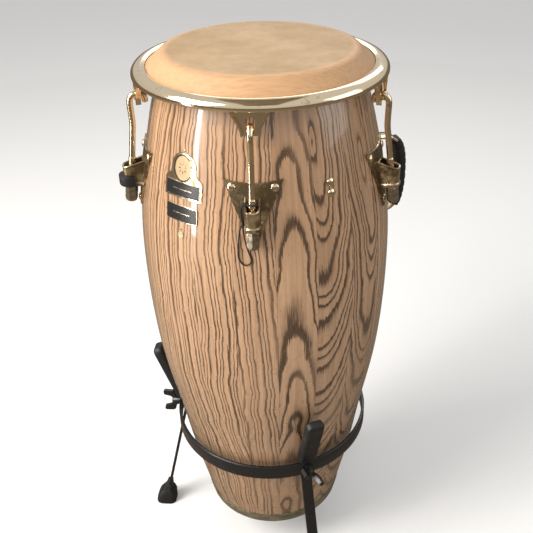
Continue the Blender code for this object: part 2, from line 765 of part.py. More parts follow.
def lug_pieces(drum):
    plate = side_plate_mesh()
    bolts = bolt_group(lug_bolt_places(0), LUG_BACKING_ROWS, PLATE_THICKNESS + 2 * GAP)
    rod, washer, nut = rod_mesh(), washer_mesh(), nut_mesh()
    for number, azimuth in enumerate(LUG_AZIMUTHS, 1):
        turn = (0, 0, math.radians(azimuth))
        leaning = (-ROD_TILT, 0, math.radians(azimuth))
        seat = polar(SHELF_RADIUS, azimuth, SHELF_HEIGHT)
        place(f"side_plate_{number}", plate, gold(), drum, rotation=turn)
        place(f"plate_bolts_{number}", bolts, gold(), drum, rotation=turn)
        place(f"rod_{number}", rod, gold(), drum, seat, turn)
        place(f"washer_{number}", washer, gold(), drum, seat, leaning)
        place(f"nut_{number}", nut, gold(), drum, seat, leaning)
    turn = (0, 0, math.radians(LUG_AZIMUTHS[BUMPER_LUG - 1]))
    place("rubber_bumper", bumper_mesh(), rubber(), drum, rotation=turn)


# ---------------------------------------------------------------- handle, badges

def handle_path():
    """From the top flange, out round the bow and down to the bottom flange."""
    seat = GAP + HANDLE_THICKNESS / 2
    path = [(shell_radius(height) + seat, height) for height in HANDLE_FLANGES[0]]
    path += HANDLE_BOW
    path += [(shell_radius(height) + seat, height) for height in HANDLE_FLANGES[1]]
    return path


def handle_mesh():
    strap = prism(strap_outline(handle_path(), HANDLE_THICKNESS / 2), HANDLE_WIDTH / 2)
    return combined(strap, cut=[hole_cutter(0, height) for height in HANDLE_BOLT_HEIGHTS])


def grip_mesh():
    path = [Vector(point) for point in HANDLE_BOW[2:9]]
    rings = []
    for index, point in enumerate(path):
        along = (path[min(index + 1, len(path) - 1)] - path[max(index - 1, 0)]).normalized()
        share = GRIP_END_SHARE if index in (0, len(path) - 1) else 1.0

        def spot(x, out, point=point, along=along):
            return (x, -(point.x - along.y * out), point.y + along.x * out)

        halves = (GRIP_HALF_WIDTH * share, GRIP_HALF_DEPTH * share)
        rings.append(rounded_ring(*halves, GRIP_CORNER * share, spot))
    half = HANDLE_THICKNESS / 2 + GAP
    tunnel = prism(strap_outline(HANDLE_BOW, half), HANDLE_WIDTH / 2 + GAP)
    return combined(loft(rings), cut=[tunnel])


def handle_bolts_mesh():
    spots = [(0, height) for height in HANDLE_BOLT_HEIGHTS]
    return bolt_group(spots, HANDLE_BACKING_ROWS, HANDLE_THICKNESS + 2 * GAP)


def handle_pieces(drum):
    turn = (0, 0, math.radians(HANDLE_AZIMUTH))
    place("handle", handle_mesh(), gold(), drum, rotation=turn)
    place("handle_grip", grip_mesh(), rubber(), drum, rotation=turn)
    place("handle_bolts", handle_bolts_mesh(), gold(), drum, rotation=turn)


def badge_pieces(drum):
    badge = patch(BADGE_AZIMUTH, BADGE_ROWS, GAP, GAP + BADGE_THICKNESS, columns=4)
    place("badge_upper", badge, badge_finish(), drum)
    nameplate = patch(BADGE_AZIMUTH, NAMEPLATE_ROWS, GAP, GAP + BADGE_THICKNESS)
    place("badge_lower", nameplate, badge_finish(), drum)
    outline = ((0, 0), (DISC_RADIUS, 0), (DISC_RADIUS, BADGE_THICKNESS), (0, BADGE_THICKNESS))
    disc = moved(turned(outline, DISC_SIDES), on_shell(BADGE_AZIMUTH, DISC_HEIGHT, GAP))
    place("round_disc", disc, disc_finish(), drum)
    spare = bolt_group([(0, height) for height in SPARE_BOLT_HEIGHTS], SPARE_BACKING_ROWS, GAP)
    place("spare_bolts", spare, gold(), drum, rotation=(0, 0, math.radians(SPARE_BOLT_AZIMUTH)))


# ---------------------------------------------------------------- cord

def smooth_points(knots, spacing):
    """Points spaced about evenly along a smooth curve through the knots."""
    dense = []
    for index in range(len(knots) - 1):
        before, start = knots[max(index - 1, 0)], knots[index]
        end, after = knots[index + 1], knots[min(index + 2, len(knots) - 1)]
        for step in range(CORD_STEPS):
            t = step / CORD_STEPS
            linear = (end - before) * t
            square = (2 * before - 5 * start + 4 * end - after) * t ** 2
            cube = (3 * start - before - 3 * end + after) * t ** 3
            dense.append(start + 0.5 * (linear + square + cube))
    dense.append(knots[-1])
    points = [dense[0]]
    walked = 0.0
    for before, after in zip(dense, dense[1:]):
        walked += (after - before).length
        if walked >= spacing:
            points.append(after)
            walked = 0.0
    points[-1] = dense[-1]
    return points


def wrap_mesh():
    """The turn of cord round the rod, in the rod's own frame."""
    outline = []
    for side in range(6):
        angle = 2 * math.pi * side / 6
        radius = WRAP_RADIUS + CORD_RADIUS * math.cos(angle)
        outline.append((radius, WRAP_ALONG_ROD + CORD_RADIUS * math.sin(angle)))
    return turned(outline, WRAP_SIDES)


def hang_cord(drum):
    azimuth = LUG_AZIMUTHS[CORD_LUG - 1]
    seat = polar(SHELF_RADIUS, azimuth, SHELF_HEIGHT)
    leaning = (-ROD_TILT, 0, math.radians(azimuth))
    place("cord_wrap", wrap_mesh(), cord_finish(), drum, seat, leaning)
    knots = []
    for azimuth, height, out in CORD_POINTS:
        knots.append(polar(shell_radius(height) + out, azimuth, height))
    points = smooth_points(knots, CORD_SPACING)
    curve = bpy.data.curves.new("hang_cord", "CURVE")
    curve.dimensions = "3D"
    curve.bevel_depth = CORD_RADIUS
    curve.bevel_resolution = 2
    curve.use_fill_caps = True
    spline = curve.splines.new("POLY")
    spline.points.add(len(points) - 1)
    for knot, point in zip(spline.points, points):
        knot.co = (*point, 1)
    curve.materials.append(cord_finish())
    piece = bpy.data.objects.new("hang_cord", curve)
    piece.parent = drum
    bpy.context.scene.collection.objects.link(piece)


# ---------------------------------------------------------------- stand

def stand_hoop_mesh():
    outline = (
        (STAND_HOOP_INNER, STAND_HOOP_BOTTOM), (STAND_HOOP_OUTER, STAND_HOOP_BOTTOM),
        (STAND_HOOP_OUTER, STAND_HOOP_TOP), (STAND_HOOP_INNER, STAND_HOOP_TOP),
    )
    return combined(turned(outline, STAND_HOOP_SIDES), cut=[bolt_tunnel(a) for a in LEG_AZIMUTHS])


def bolt_height():
    return (STAND_HOOP_BOTTOM + STAND_HOOP_TOP) / 2


def bolt_tunnel(azimuth):
    radius = WING_BOLT_SHAFT + 0.0005
    outline = ((0, 0.130), (radius, 0.130), (radius, 0.170), (0, 0.170))
    lay = Matrix.Translation((0, 0, bolt_height())) @ Matrix.Rotation(math.pi / 2, 4, "X")
    return moved(turned(outline, BORE_SIDES), Matrix.Rotation(math.radians(azimuth), 4, "Z") @ lay)


def bar_path():
    """From the foot up past the hoop and out along the arm."""
    splay = (BAR_LOWER_BEND - BAR_FOOT_HEIGHT) * math.tan(LEG_SPLAY)
    arm_end = BAR_UPPER_BEND + ARM_LENGTH * math.cos(ARM_LEAN)
    return (
        (BAR_RADIUS + splay, BAR_FOOT_HEIGHT), (BAR_RADIUS, BAR_LOWER_BEND),
        (BAR_RADIUS, BAR_UPPER_BEND), (BAR_RADIUS + ARM_LENGTH * math.sin(ARM_LEAN), arm_end),
    )


def leg_bar_mesh():
    bar = prism(strap_outline(bar_path(), BAR_THICKNESS / 2), BAR_WIDTH / 2)
    return combined(bar, cut=[bolt_tunnel(0)])


def bar_cutter():
    """The bar with the fit gap all round."""
    path = [Vector(point) for point in bar_path()]
    path[0] += (path[0] - path[1]).normalized() * GAP
    path[-1] += (path[-1] - path[-2]).normalized() * GAP
    outline = strap_outline(path, BAR_THICKNESS / 2 + GAP)
    return prism(outline, BAR_WIDTH / 2 + GAP)


def arm_pad_mesh():
    """A rubber sleeve over the arm, thick outside and thin where the drum leans on it."""
    inner = BAR_THICKNESS / 2 + GAP + PAD_INNER_WALL
    outer = BAR_THICKNESS / 2 + GAP + PAD_OUTER_WALL
    middle, half_out = (outer - inner) / 2, (outer + inner) / 2
    slant = (PAD_START_OUTER - PAD_START_INNER) / (2 * half_out)
    start = (PAD_START_OUTER + PAD_START_INNER) / 2
    rings = []
    for along, share, lean in [(start, 1.0, slant)] + [(*level, 0.0) for level in PAD_LEVELS]:

        def spot(x, out, along=along, lean=lean):
            up = along + lean * out
            out += middle
            radius = BAR_RADIUS + up * math.sin(ARM_LEAN) + out * math.cos(ARM_LEAN)
            height = BAR_UPPER_BEND + up * math.cos(ARM_LEAN) - out * math.sin(ARM_LEAN)
            return (x, -radius, height)

        rings.append(rounded_ring(PAD_HALF_WIDTH * share, half_out * share, PAD_CORNER * share, spot))
    return combined(loft(rings), cut=[bar_cutter()])


def foot_boot_mesh():
    foot_radius = bar_path()[0][0]
    rings = []
    for height, half_x, half_out in BOOT_LEVELS:
        centre = foot_radius + 0.0015 - max(height - BAR_FOOT_HEIGHT, 0) * math.tan(LEG_SPLAY)

        def spot(x, out, centre=centre, height=height):
            return (x, -(centre + out), height)

        rings.append(rounded_ring(half_x, half_out, min(half_x, half_out) * 0.5, spot))
    return combined(loft(rings), cut=[bar_cutter()])


def wing_bolt_mesh():
    """A shaft along the outward axis (-Y), a hub and two wings, upright when it isn't turned."""
    body = moved(turned(WING_BOLT_HUB, BORE_SIDES), Matrix.Rotation(math.pi / 2, 4, "X"))
    mirrored = [(out, -across) for out, across in WING_BOLT_OUTLINE[::-1]]
    wings = prism([*WING_BOLT_OUTLINE, *mirrored], WING_HALF_THICKNESS)
    return combined(body, joined=[wings])


def stand_pieces(stand):
    place("stand_ring", stand_hoop_mesh(), black_paint(), stand)
    bar, pad, boot, wing = leg_bar_mesh(), arm_pad_mesh(), foot_boot_mesh(), wing_bolt_mesh()
    for number, (azimuth, roll) in enumerate(zip(LEG_AZIMUTHS, WING_BOLT_ROLLS), 1):
        turn = (0, 0, math.radians(azimuth))
        rolled = (0, math.radians(roll), math.radians(azimuth))
        place(f"leg_bar_{number}", bar, black_paint(), stand, rotation=turn)
        place(f"arm_pad_{number}", pad, rubber(), stand, rotation=turn)
        place(f"foot_boot_{number}", boot, rubber(), stand, rotation=turn)
        seat = polar(STAND_HOOP_OUTER, azimuth, bolt_height())
        place(f"wing_bolt_{number}", wing, black_paint(), stand, seat, rolled)


def main():
    for old in list(bpy.data.objects):
        bpy.data.objects.remove(old)
    stand = empty("stand", (AXIS_X, AXIS_Y, 0))
    drum = empty("drum", (0, 0, DRUM_LIFT), stand)
    tuned_head = empty("tuned_head", (0, 0, 0), drum)
    place("shell", shell_mesh(), wood(), drum)
    place("bottom_band", bottom_band_mesh(), band_finish(), drum)
    place("rim", rim_mesh(), gold(), tuned_head)
    place("skin", skin_mesh(), hide(), tuned_head)
    place("flesh_hoop", flesh_hoop_mesh(), black_paint(), tuned_head)
    lug_pieces(drum)
    handle_pieces(drum)
    badge_pieces(drum)
    hang_cord(drum)
    stand_pieces(stand)


main()
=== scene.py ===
"""The looks of a conga drum in its cradle stand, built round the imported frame.

The drum's pieces are modelled in the drum's own frame: z = 0 at the shell's bottom edge and
the axis at x = y = 0. The stand's pieces are modelled from the floor up. A piece that repeats
round the axis is modelled at the front, facing -Y, and turned to its azimuth, which counts
from -Y towards +X. Lengths are in metres.
"""

import math
import random

import bmesh
import bpy
from mathutils import Matrix, Vector


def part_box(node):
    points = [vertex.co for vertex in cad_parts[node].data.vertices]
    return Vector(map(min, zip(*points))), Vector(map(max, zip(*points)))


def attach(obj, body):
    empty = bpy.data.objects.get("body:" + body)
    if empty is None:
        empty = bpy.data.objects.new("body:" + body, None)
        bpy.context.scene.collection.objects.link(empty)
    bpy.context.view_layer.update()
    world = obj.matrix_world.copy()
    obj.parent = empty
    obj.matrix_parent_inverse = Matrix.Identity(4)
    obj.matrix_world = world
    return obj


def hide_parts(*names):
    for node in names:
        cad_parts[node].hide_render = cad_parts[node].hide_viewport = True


bl_info = {
    "name": "Conga drum",
    "version": (1, 0, 0),
    "blender": (4, 5, 0),
    "location": "View3D > Sidebar > Conga",
    "description": "Builds the wood, hide, metal and rubber of a conga drum in its stand",
    "category": "Add Mesh",
}

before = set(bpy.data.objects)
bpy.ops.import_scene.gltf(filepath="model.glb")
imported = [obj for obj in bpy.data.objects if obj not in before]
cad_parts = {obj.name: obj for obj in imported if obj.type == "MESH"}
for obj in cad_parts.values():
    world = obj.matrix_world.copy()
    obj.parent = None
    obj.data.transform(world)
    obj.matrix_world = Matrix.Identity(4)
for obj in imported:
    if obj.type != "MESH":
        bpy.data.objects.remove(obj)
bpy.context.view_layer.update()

# ---------------------------------------------------------------- places from the frame

HEAD_LOW, HEAD_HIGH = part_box("skin")
DRUM_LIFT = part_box("shell")[0].z
AXIS = ((HEAD_LOW.x + HEAD_HIGH.x) / 2, (HEAD_LOW.y + HEAD_HIGH.y) / 2)
DRUM_PLACE = Matrix.Translation((*AXIS, DRUM_LIFT))
STAND_PLACE = Matrix.Translation((*AXIS, 0))
DRUM_HEIGHT = HEAD_HIGH.z - DRUM_LIFT
GAP = 0.0003

# ---------------------------------------------------------------- the drum's shapes

SHELL_OUTLINE = (
    (0.000, 0.1066), (0.100, 0.1291), (0.200, 0.1464), (0.320, 0.1673),
    (0.450, 0.1755), (0.560, 0.1710), (0.680, 0.1486), (0.756, 0.1264),
)
SHELL_WALL = 0.0115
SHELL_SIDES = 160
SHELL_LEVEL_STEP = 0.010
SHELL_INSIDE_TOP = 0.700
BEARING_EDGE = ((0.1262, 0.7560), (0.1245, 0.7590), (0.1215, 0.7597), (0.1172, 0.7585))
FOOT_ROUNDING = 0.0012
BAND_HEIGHT = 0.020
BAND_THICKNESS = 0.0012

FACE_RADIUS = 0.1225
COLLAR_TOP = (0.1292, 0.7596)
COLLAR_ANGLE = math.radians(41.0)
SKIN_THICKNESS = 0.0017
HOOP_CENTRE = (0.1512, 0.7339)
HOOP_WRAP = 0.0050
WRAP_TURNS = range(49, -116, -12)
HEAD_SHOULDER = ((0.1200, 0.76198), (FACE_RADIUS, 0.7618), (0.1245, 0.76145), (0.1262, 0.7609))
HEAD_SIDES = 160

RIM_OUTLINE = (
    (0.1486, 0.7436), (0.1500, 0.7453), (0.1545, 0.7463), (0.1590, 0.7454), (0.1632, 0.7431),
    (0.1660, 0.7394), (0.1667, 0.7360), (0.1655, 0.7330), (0.1590, 0.7323), (0.1570, 0.7366),
)
RIM_SIDES = 160
EAR_LEVELS = ((0.7035, 0.0108), (0.7130, 0.0125), (0.7240, 0.0180), (0.7360, 0.0250))
EAR_PLATE = (0.1585, 0.1613)
EAR_FLANGE_EDGE = 0.1652
EAR_FLANGE = 0.0022
EAR_SLOT_REACH = (0.150, 0.170)
EAR_SLOT_WIDTH = 0.0108
EAR_SLOT_CENTRE = 0.7181
EAR_SLOT_HALF_HEIGHT = 0.0086

LUG_AZIMUTHS = (-77.0, -5.0, 67.0, 139.0, 211.0)
SHELF_RADIUS = 0.1818
SHELF_HEIGHT = 0.5925
ROD_TILT = math.radians(7.1)
ROD_RADIUS = 0.0040
SLEEVE_RADIUS = 0.0047
ROD_SIDES = 20
ROD_SHOULDER = 0.0008
THREAD_BELOW_SHELF = 0.0220
ROD_STRAIGHT = 0.0710
SLEEVE_SPAN = (0.0060, 0.0377)
ROD_BEND = (
    (0.1716, 0.6740), (0.1716, 0.6880), (0.1720, 0.7020), (0.1713, 0.7080), (0.1690, 0.7122),
    (0.1655, 0.7145), (0.1580, 0.7143), (0.1540, 0.7120), (0.1526, 0.7075), (0.1526, 0.7030),
)
WASHER_RADIUS = 0.0085
WASHER_THICKNESS = 0.0014
NUT_FLATS = 0.0144
NUT_LENGTH = 0.0225
NUT_HEXAGON_END = 0.0165
NUT_NOSE = 0.0060
NUT_SIDES = 72
BORE_RADIUS = 0.0046

PLATE_TIP = 0.5615
PLATE_TOP = 0.6465
PLATE_TIP_HALF_WIDTH = 0.0030
PLATE_HALF_WIDTH = 0.0360
PLATE_FLARE = 1.06
PLATE_THICKNESS = 0.0022
PLATE_DIP = 0.0040
PLATE_BOLT_SIDE = 0.0257
PLATE_BOLT_TOP = 0.6370
PLATE_BOLT_BOTTOM = 0.5715
BOLT_HEAD_RADIUS = 0.0055
BOLT_HEAD_HEIGHT = 0.0024
BOLT_SHANK = 0.0026
BACKING_OFFSET = -SHELL_WALL - 0.0019
BACKING_THICKNESS = 0.0020
LUG_BACKING_ROWS = ((0.566, 0.006), (0.600, 0.018), (0.643, 0.031))
SPARE_BOLT_AZIMUTH = 30.0
SPARE_BOLT_HEIGHTS = (0.6320, 0.6185)
SPARE_BACKING_ROWS = ((0.6100, 0.006), (0.6400, 0.006))

POCKET_HALF_PLAN = ((0.0090, 0.1830), (0.0072, 0.1885), (0.0038, 0.1908))
POCKET_ROOT_HALF = 0.0098
POCKET_ROOT_OVERLAP = 0.0015
POCKET_WALL = 0.0018
POCKET_TOP_AT_PLATE = 0.6260
POCKET_TOP_SLOPE = -0.25
POCKET_OPEN_TOP = 0.010
SHELF_THICKNESS = 0.0028
LIP_FLARE = 0.0012
LIP_HEIGHT = 0.0040
MOUTH_BEAD = 0.0010

BUMPER_LUG = 1
BUMPER_THICKNESS = 0.0065
BUMPER_SIDE = 0.0036
BUMPER_ENDS = 0.1775
BUMPER_HEIGHT = 0.0135

HANDLE_AZIMUTH = 103.0
HANDLE_WIDTH = 0.0220
HANDLE_THICKNESS = 0.0032
HANDLE_FLANGES = ((0.6440, 0.6190), (0.4995, 0.4745))
HANDLE_BOW = (
    (0.1780, 0.6165), (0.1865, 0.6150), (0.1935, 0.6095), (0.1985, 0.6000), (0.2018, 0.5830),
    (0.2028, 0.5600), (0.2018, 0.5370), (0.1985, 0.5190), (0.1935, 0.5090), (0.1865, 0.5035),
    (0.1800, 0.5020),
)
HANDLE_BOLT_HEIGHTS = (0.6340, 0.4845)
HANDLE_BACKING_ROWS = ((0.4745, 0.008), (0.532, 0.008), (0.589, 0.008), (0.644, 0.008))
GRIP_HALF_DEPTH = 0.0064
GRIP_HALF_WIDTH = 0.0135
GRIP_CORNER = 0.0048

BADGE_AZIMUTH = -38.6
BADGE_OUTLINE = (
    (0.0300, -0.0280), (0.0300, -0.0060), (0.0280, -0.0030), (0.0215, 0.0010), (0.0200, 0.0050),
    (0.0196, 0.0100), (0.0190, 0.0145), (0.0170, 0.0195), (0.0130, 0.0245), (0.0070, 0.0282),
    (0.0000, 0.0296),
)
BADGE_MIDDLE = 0.6390
BADGE_THICKNESS = 0.0010
MEDALLION_MIDDLE = 0.6490
MEDALLION_HALF = (0.0155, 0.0178)
PANEL_MIDDLE = 0.6222
PANEL_HALF = (0.0272, 0.0095)
NAMEPLATE_MIDDLE = 0.5915
NAMEPLATE_HALF = (0.0250, 0.0105)
DISC_HEIGHT = 0.5628
DISC_RADIUS = 0.0045
PIN_RADIUS = 0.0011
PIN_CLEARANCE = 0.0016
TOP_PIN_RISE = 0.0316
DISC_PIN_RISE = 0.0030
RAY_COUNT = 8
RAY_REACH = (0.0040, 0.0078)
RAY_HALF_WIDTH = 0.0009
MEDALLION_RISE = 0.0007

# ---------------------------------------------------------------- the stand's shapes

LEG_AZIMUTHS = (19.3, -97.0, 140.0)
STAND_HOOP_OUTER = 0.1530
STAND_HOOP_INNER = 0.1485
STAND_HOOP_BOTTOM = 0.2270
STAND_HOOP_TOP = 0.2500
STAND_HOOP_SIDES = 144
BOLT_LEVEL = (STAND_HOOP_BOTTOM + STAND_HOOP_TOP) / 2
BAR_THICKNESS = 0.0042
BAR_WIDTH = 0.0168
BAR_RADIUS = 0.1455
BAR_LOWER_BEND = 0.2250
BAR_UPPER_BEND = 0.2540
BAR_FOOT_HEIGHT = 0.0090
LEG_SPLAY = math.radians(13.5)
ARM_LEAN = math.radians(19.0)
ARM_LENGTH = 0.0980
PAD_INNER_WALL = 0.0024
PAD_OUTER_WALL = 0.0082
PAD_HALF_WIDTH = 0.0135
PAD_END = 0.1050
PAD_START_INNER = 0.0085
PAD_START_OUTER = 0.0021
PAD_CORNER = 0.0045
PAD_TIP = 0.009
STRIP_EDGE = 0.0010
BEND_ROUNDING = 0.006
RING_EDGE = 0.0009
BOOT_FORWARD = 0.0015
BOOT_LEVELS = (
    (0.0000, 0.0150, 0.0165), (0.0030, 0.0158, 0.0173), (0.0180, 0.0150, 0.0155),
    (0.0250, 0.0135, 0.0120), (0.0310, 0.0120, 0.0070), (0.0420, 0.0113, 0.0048),
)
WING_BOLT_ROLLS = (-45.0, 0.0, -25.0)
WING_BOLT_OUTLINE = (
    (0.0035, 0.0062), (0.0080, 0.0090), (0.0100, 0.0165), (0.0130, 0.0200),
    (0.0270, 0.0205), (0.0290, 0.0180), (0.0280, 0.0125), (0.0180, 0.0095), (0.0130, 0.0062),
)
WING_HALF_THICKNESS = 0.0028
WING_BOLT_SHAFT = 0.0030
WING_BOLT_HUB = (
    (0, -0.0092), (WING_BOLT_SHAFT, -0.0092), (WING_BOLT_SHAFT, 0.0004), (0.0068, 0.0004),
    (0.0068, 0.0120), (0.0052, 0.0150), (0, 0.0155),
)

# ---------------------------------------------------------------- the cord's route

CORD_LUG = 2
CORD_RADIUS = 0.0009
CORD_STEPS = 12
CORD_SPACING = 0.0020
WRAP_ALONG_ROD = 0.03225
WRAP_RADIUS = 0.0060
CORD_POINTS = (
    (-7.32, 0.6247, 0.0158), (-7.92, 0.6250, 0.0160), (-8.57, 0.6242, 0.0158),
    (-9.10, 0.6217, 0.0150), (-9.38, 0.6175, 0.0134), (-9.49, 0.6115, 0.0105),
    (-9.52, 0.6050, 0.0071), (-9.55, 0.5985, 0.0046), (-9.80, 0.5925, 0.0042),
    (-10.75, 0.5838, 0.0040), (-11.25, 0.5728, 0.0024), (-11.60, 0.5616, 0.0014),
    (-11.70, 0.5520, 0.0013), (-11.20, 0.5446, 0.0013), (-9.85, 0.5396, 0.0013),
    (-8.25, 0.5384, 0.0013), (-7.00, 0.5406, 0.0013), (-6.35, 0.5440, 0.0013),
    (-6.55, 0.5488, 0.0013), (-7.40, 0.5568, 0.0016), (-8.15, 0.5646, 0.0020),
    (-8.65, 0.5728, 0.0030), (-9.05, 0.5822, 0.0046), (-9.25, 0.5880, 0.0058),
    (-9.40, 0.5940, 0.0070), (-9.50, 0.6000, 0.0084), (-9.45, 0.6065, 0.0113),
    (-9.42, 0.6135, 0.0150), (-9.28, 0.6180, 0.0177), (-9.01, 0.6215, 0.0191),
    (-8.50, 0.6240, 0.0197), (-7.86, 0.6248, 0.0197), (-7.23, 0.6244, 0.0194),
)

# ---------------------------------------------------------------- the staves' boards

# Each stave is sawn from a log whose pith runs beside it: how far across the stave the pith
# lies, how deep under the face at the drum's middle, and how the depth changes with height.
STAVE_COUNT = 20
FIRST_SEAM = 3.6
BOARD_SPAN = 0.4
FRONT_BOARDS = {
    -4: (0.110, 0.040, 0.030), -3: (0.082, 0.050, -0.045), -2: (-0.070, 0.035, 0.040),
    -1: (0.058, 0.030, -0.060), 0: (-0.004, 0.046, 0.058), 1: (-0.022, 0.052, -0.240),
    2: (0.010, 0.030, -0.130), 3: (0.060, 0.035, 0.050),
}
BOARD_SEED = 7

# ---------------------------------------------------------------- the stage's places

CAMERA_PLACE = (0.0, -0.9777, 1.0371)
CAMERA_YAW = 0.0303
CAMERA_PITCH = 0.5229
CAMERA_ROLL = -0.0180
CAMERA_LENS = 51.976
CAMERA_SHIFT = (-0.0378, -0.0499)
LIGHTS = (
    ("key_light", "key_power", (1.4, 1.3), (-1.6, -0.75, 1.9), (0, 0, 0.5), (1.0, 0.96, 0.91)),
    ("strip_light", "strip_power", (0.16, 1.8), (-1.5, -0.75, 0.98), (0, 0, 0.6), (1.0, 0.98, 0.95)),
    ("fill_light", "fill_power", (1.2, 1.4), (1.9, -0.5, 1.3), (0, 0, 0.4), (1.0, 1.0, 1.0)),
    ("rear_light", "fill_power", (1.6, 0.8), (0.4, 1.8, 1.9), (0, 0, 0.5), (1.0, 1.0, 1.0)),
)
FLOOR_HALF = 7.0
FLOOR_STEPS = 12
SKY_STOPS = ((0.46, (0.86, 0.84, 0.80)), (0.80, (1.0, 1.0, 1.0)))

# The dark cards: a ring on the floor by its radii, a wall by its radius and top, and a ceiling
# by its half width, front and back.
DARK_RING = (0.02, 2.75)
DARK_RING_HEIGHTS = (0.002, 0.006)
DARK_RING_SIDES = 64
DARK_WALL = (2.70, 1.05)
DARK_CEILING = (0.50, -1.75, 1.00)
DARK_CEILING_HEIGHTS = (2.60, 2.62)


# ---------------------------------------------------------------- shape functions

def polar(radius, azimuth, height):
    """A point at an azimuth in degrees, counted from -Y towards +X."""
    angle = math.radians(azimuth)
    return Vector((radius * math.sin(angle), -radius * math.cos(angle), height))


def curve_value(knots, place):
    """A smooth curve through (place, value) knots: cubic pieces with the knots' mean slopes."""
    last = len(knots) - 1
    slopes = []
    for index in range(last + 1):
        before = knots[max(index - 1, 0)]
        after = knots[min(index + 1, last)]
        slopes.append((after[1] - before[1]) / (after[0] - before[0]))
    index = 0
    while index < last - 1 and place > knots[index + 1][0]:
        index += 1
    start, end = knots[index], knots[index + 1]
    span = end[0] - start[0]
    share = (place - start[0]) / span
    rise = share * share * (3 - 2 * share)
    out = share * (1 - share) ** 2 * slopes[index] * span
    into = share * share * (share - 1) * slopes[index + 1] * span
    return start[1] + (end[1] - start[1]) * rise + out + into


def shell_radius(height):
    return curve_value(SHELL_OUTLINE, height)


def on_shell(azimuth, height, offset=0.0):
    """A frame on the shell's outside: X along the girth, Z straight out of the surface."""
    step = 0.002
    slope = (shell_radius(height + step) - shell_radius(height - step)) / (2 * step)
    turn = Matrix.Rotation(math.radians(azimuth), 4, "Z")
    place = Matrix.Translation((0, -shell_radius(height), height))
    outward = Matrix.Rotation(math.pi / 2 + math.atan(slope), 4, "X")
    return turn @ place @ outward @ Matrix.Translation((0, 0, offset))


def smooth_line(knots, steps, closed=False):
    """Points along a smooth curve through the knots, with this many steps between two knots."""
    knots = [Vector(knot) for knot in knots]
    last = len(knots) - 1
    points = []
    for index in range(last + 1 if closed else last):
        if closed:
            before, start, end, after = (knots[(index + n) % (last + 1)] for n in (-1, 0, 1, 2))
        else:
            before, start = knots[max(index - 1, 0)], knots[index]
            end, after = knots[index + 1], knots[min(index + 2, last)]
        for step in range(steps):
            t = step / steps
            linear = (end - before) * t
            square = (2 * before - 5 * start + 4 * end - after) * t ** 2
            cube = (3 * start - before - 3 * end + after) * t ** 3
            points.append(start + 0.5 * (linear + square + cube))
    if not closed:
        points.append(knots[-1])
    return points


def mesh_from(vertices, faces, slots=None):
    """A mesh with its faces turned outwards, smooth but for its sharp edges."""
    form = bmesh.new()
    points = [form.verts.new(vertex) for vertex in vertices]
    for number, face in enumerate(faces):
        made = form.faces.new([points[index] for index in face])
        made.material_index = slots[number] if slots else 0
    bmesh.ops.recalc_face_normals(form, faces=form.faces)
    mesh = bpy.data.meshes.new("piece")
    form.to_mesh(mesh)
    form.free()
    return softened(mesh)


def softened(mesh, degrees=34):
    mesh.shade_smooth()
    mesh.set_sharp_from_angle(angle=math.radians(degrees))
    return mesh


def loft(rings, closed=False, strip=False):
    """A solid through rings of equal count. strip caps a flat ring of two facing rows."""
    count = len(rings[0])
    vertices = [point for ring in rings for point in ring]
    faces = []
    for level in range(len(rings) if closed else len(rings) - 1):
        low = level * count
        high = (level + 1) % len(rings) * count
        for index in range(count):
            after = (index + 1) % count
            faces.append((low + index, low + after, high + after, high + index))
    if not closed:
        for start in (0, (len(rings) - 1) * count):
            if strip:
                for index in range(count // 2 - 1):
                    far = count - 1 - index
                    faces.append((start + index, start + index + 1, start + far - 1, start + far))
            else:
                faces.append(range(start, start + count))
    return mesh_from(vertices, faces)


def turned(outline, sides):
    """A closed (radius, height) outline turned about Z. Points on the axis become one point."""
    vertices = []
    rows = []
    for radius, height in outline:
        if radius == 0:
            rows.append([len(vertices)] * sides)
            vertices.append((0, 0, height))
            continue
        rows.append(list(range(len(vertices), len(vertices) + sides)))
        for side in range(sides):
            vertices.append(polar(radius, 360 * side / sides, height))
    faces = []
    for row, after in zip(rows, rows[1:] + rows[:1]):
        for side in range(sides):
            other = (side + 1) % sides
            corners = [row[side], row[other], after[other], after[side]]
            face = [c for n, c in enumerate(corners) if c not in corners[:n]]
            if len(face) > 2:
                faces.append(face)
    return mesh_from(vertices, faces)


def circle(middle, radius, sides):
    """A closed outline of points round a (radius, height) point."""
    points = []
    for side in range(sides):
        angle = 2 * math.pi * side / sides
        points.append((middle[0] + radius * math.cos(angle), middle[1] + radius * math.sin(angle)))
    return points


def prism(outline, half_width):
    """A (distance out, height) outline in the front's upright plane, widened along X."""
    rings = []
    for side in (-half_width, half_width):
        rings.append([(side, -radius, height) for radius, height in outline])
    return loft(rings)


def strap(path, half_thickness, half_width, edge):
    """A flat strip along a (distance out, height) path, with rounded long edges."""
    rings = []
    section = []
    for side_x, side_y in ((1, 1), (-1, 1), (-1, -1), (1, -1)):
        turn = math.atan2(side_y, side_x) - math.pi / 4
        for step in range(3):
            angle = turn + math.pi / 4 * step
            across = side_x * (half_width - edge) + edge * math.cos(angle)
            section.append((across, side_y * (half_thickness - edge) + edge * math.sin(angle)))
    for point, along in zip(path, directions(path)):
        ring = []
        for across, out in section:
            ring.append((across, -(point[0] - along.y * out), point[1] + along.x * out))
        rings.append(ring)
    return loft(rings)


def directions(path):
    """The path's direction at each of its points."""
    found = []
    for index in range(len(path)):
        before = Vector(path[max(index - 1, 0)])
        after = Vector(path[min(index + 1, len(path) - 1)])
        found.append((after - before).normalized())
    return found


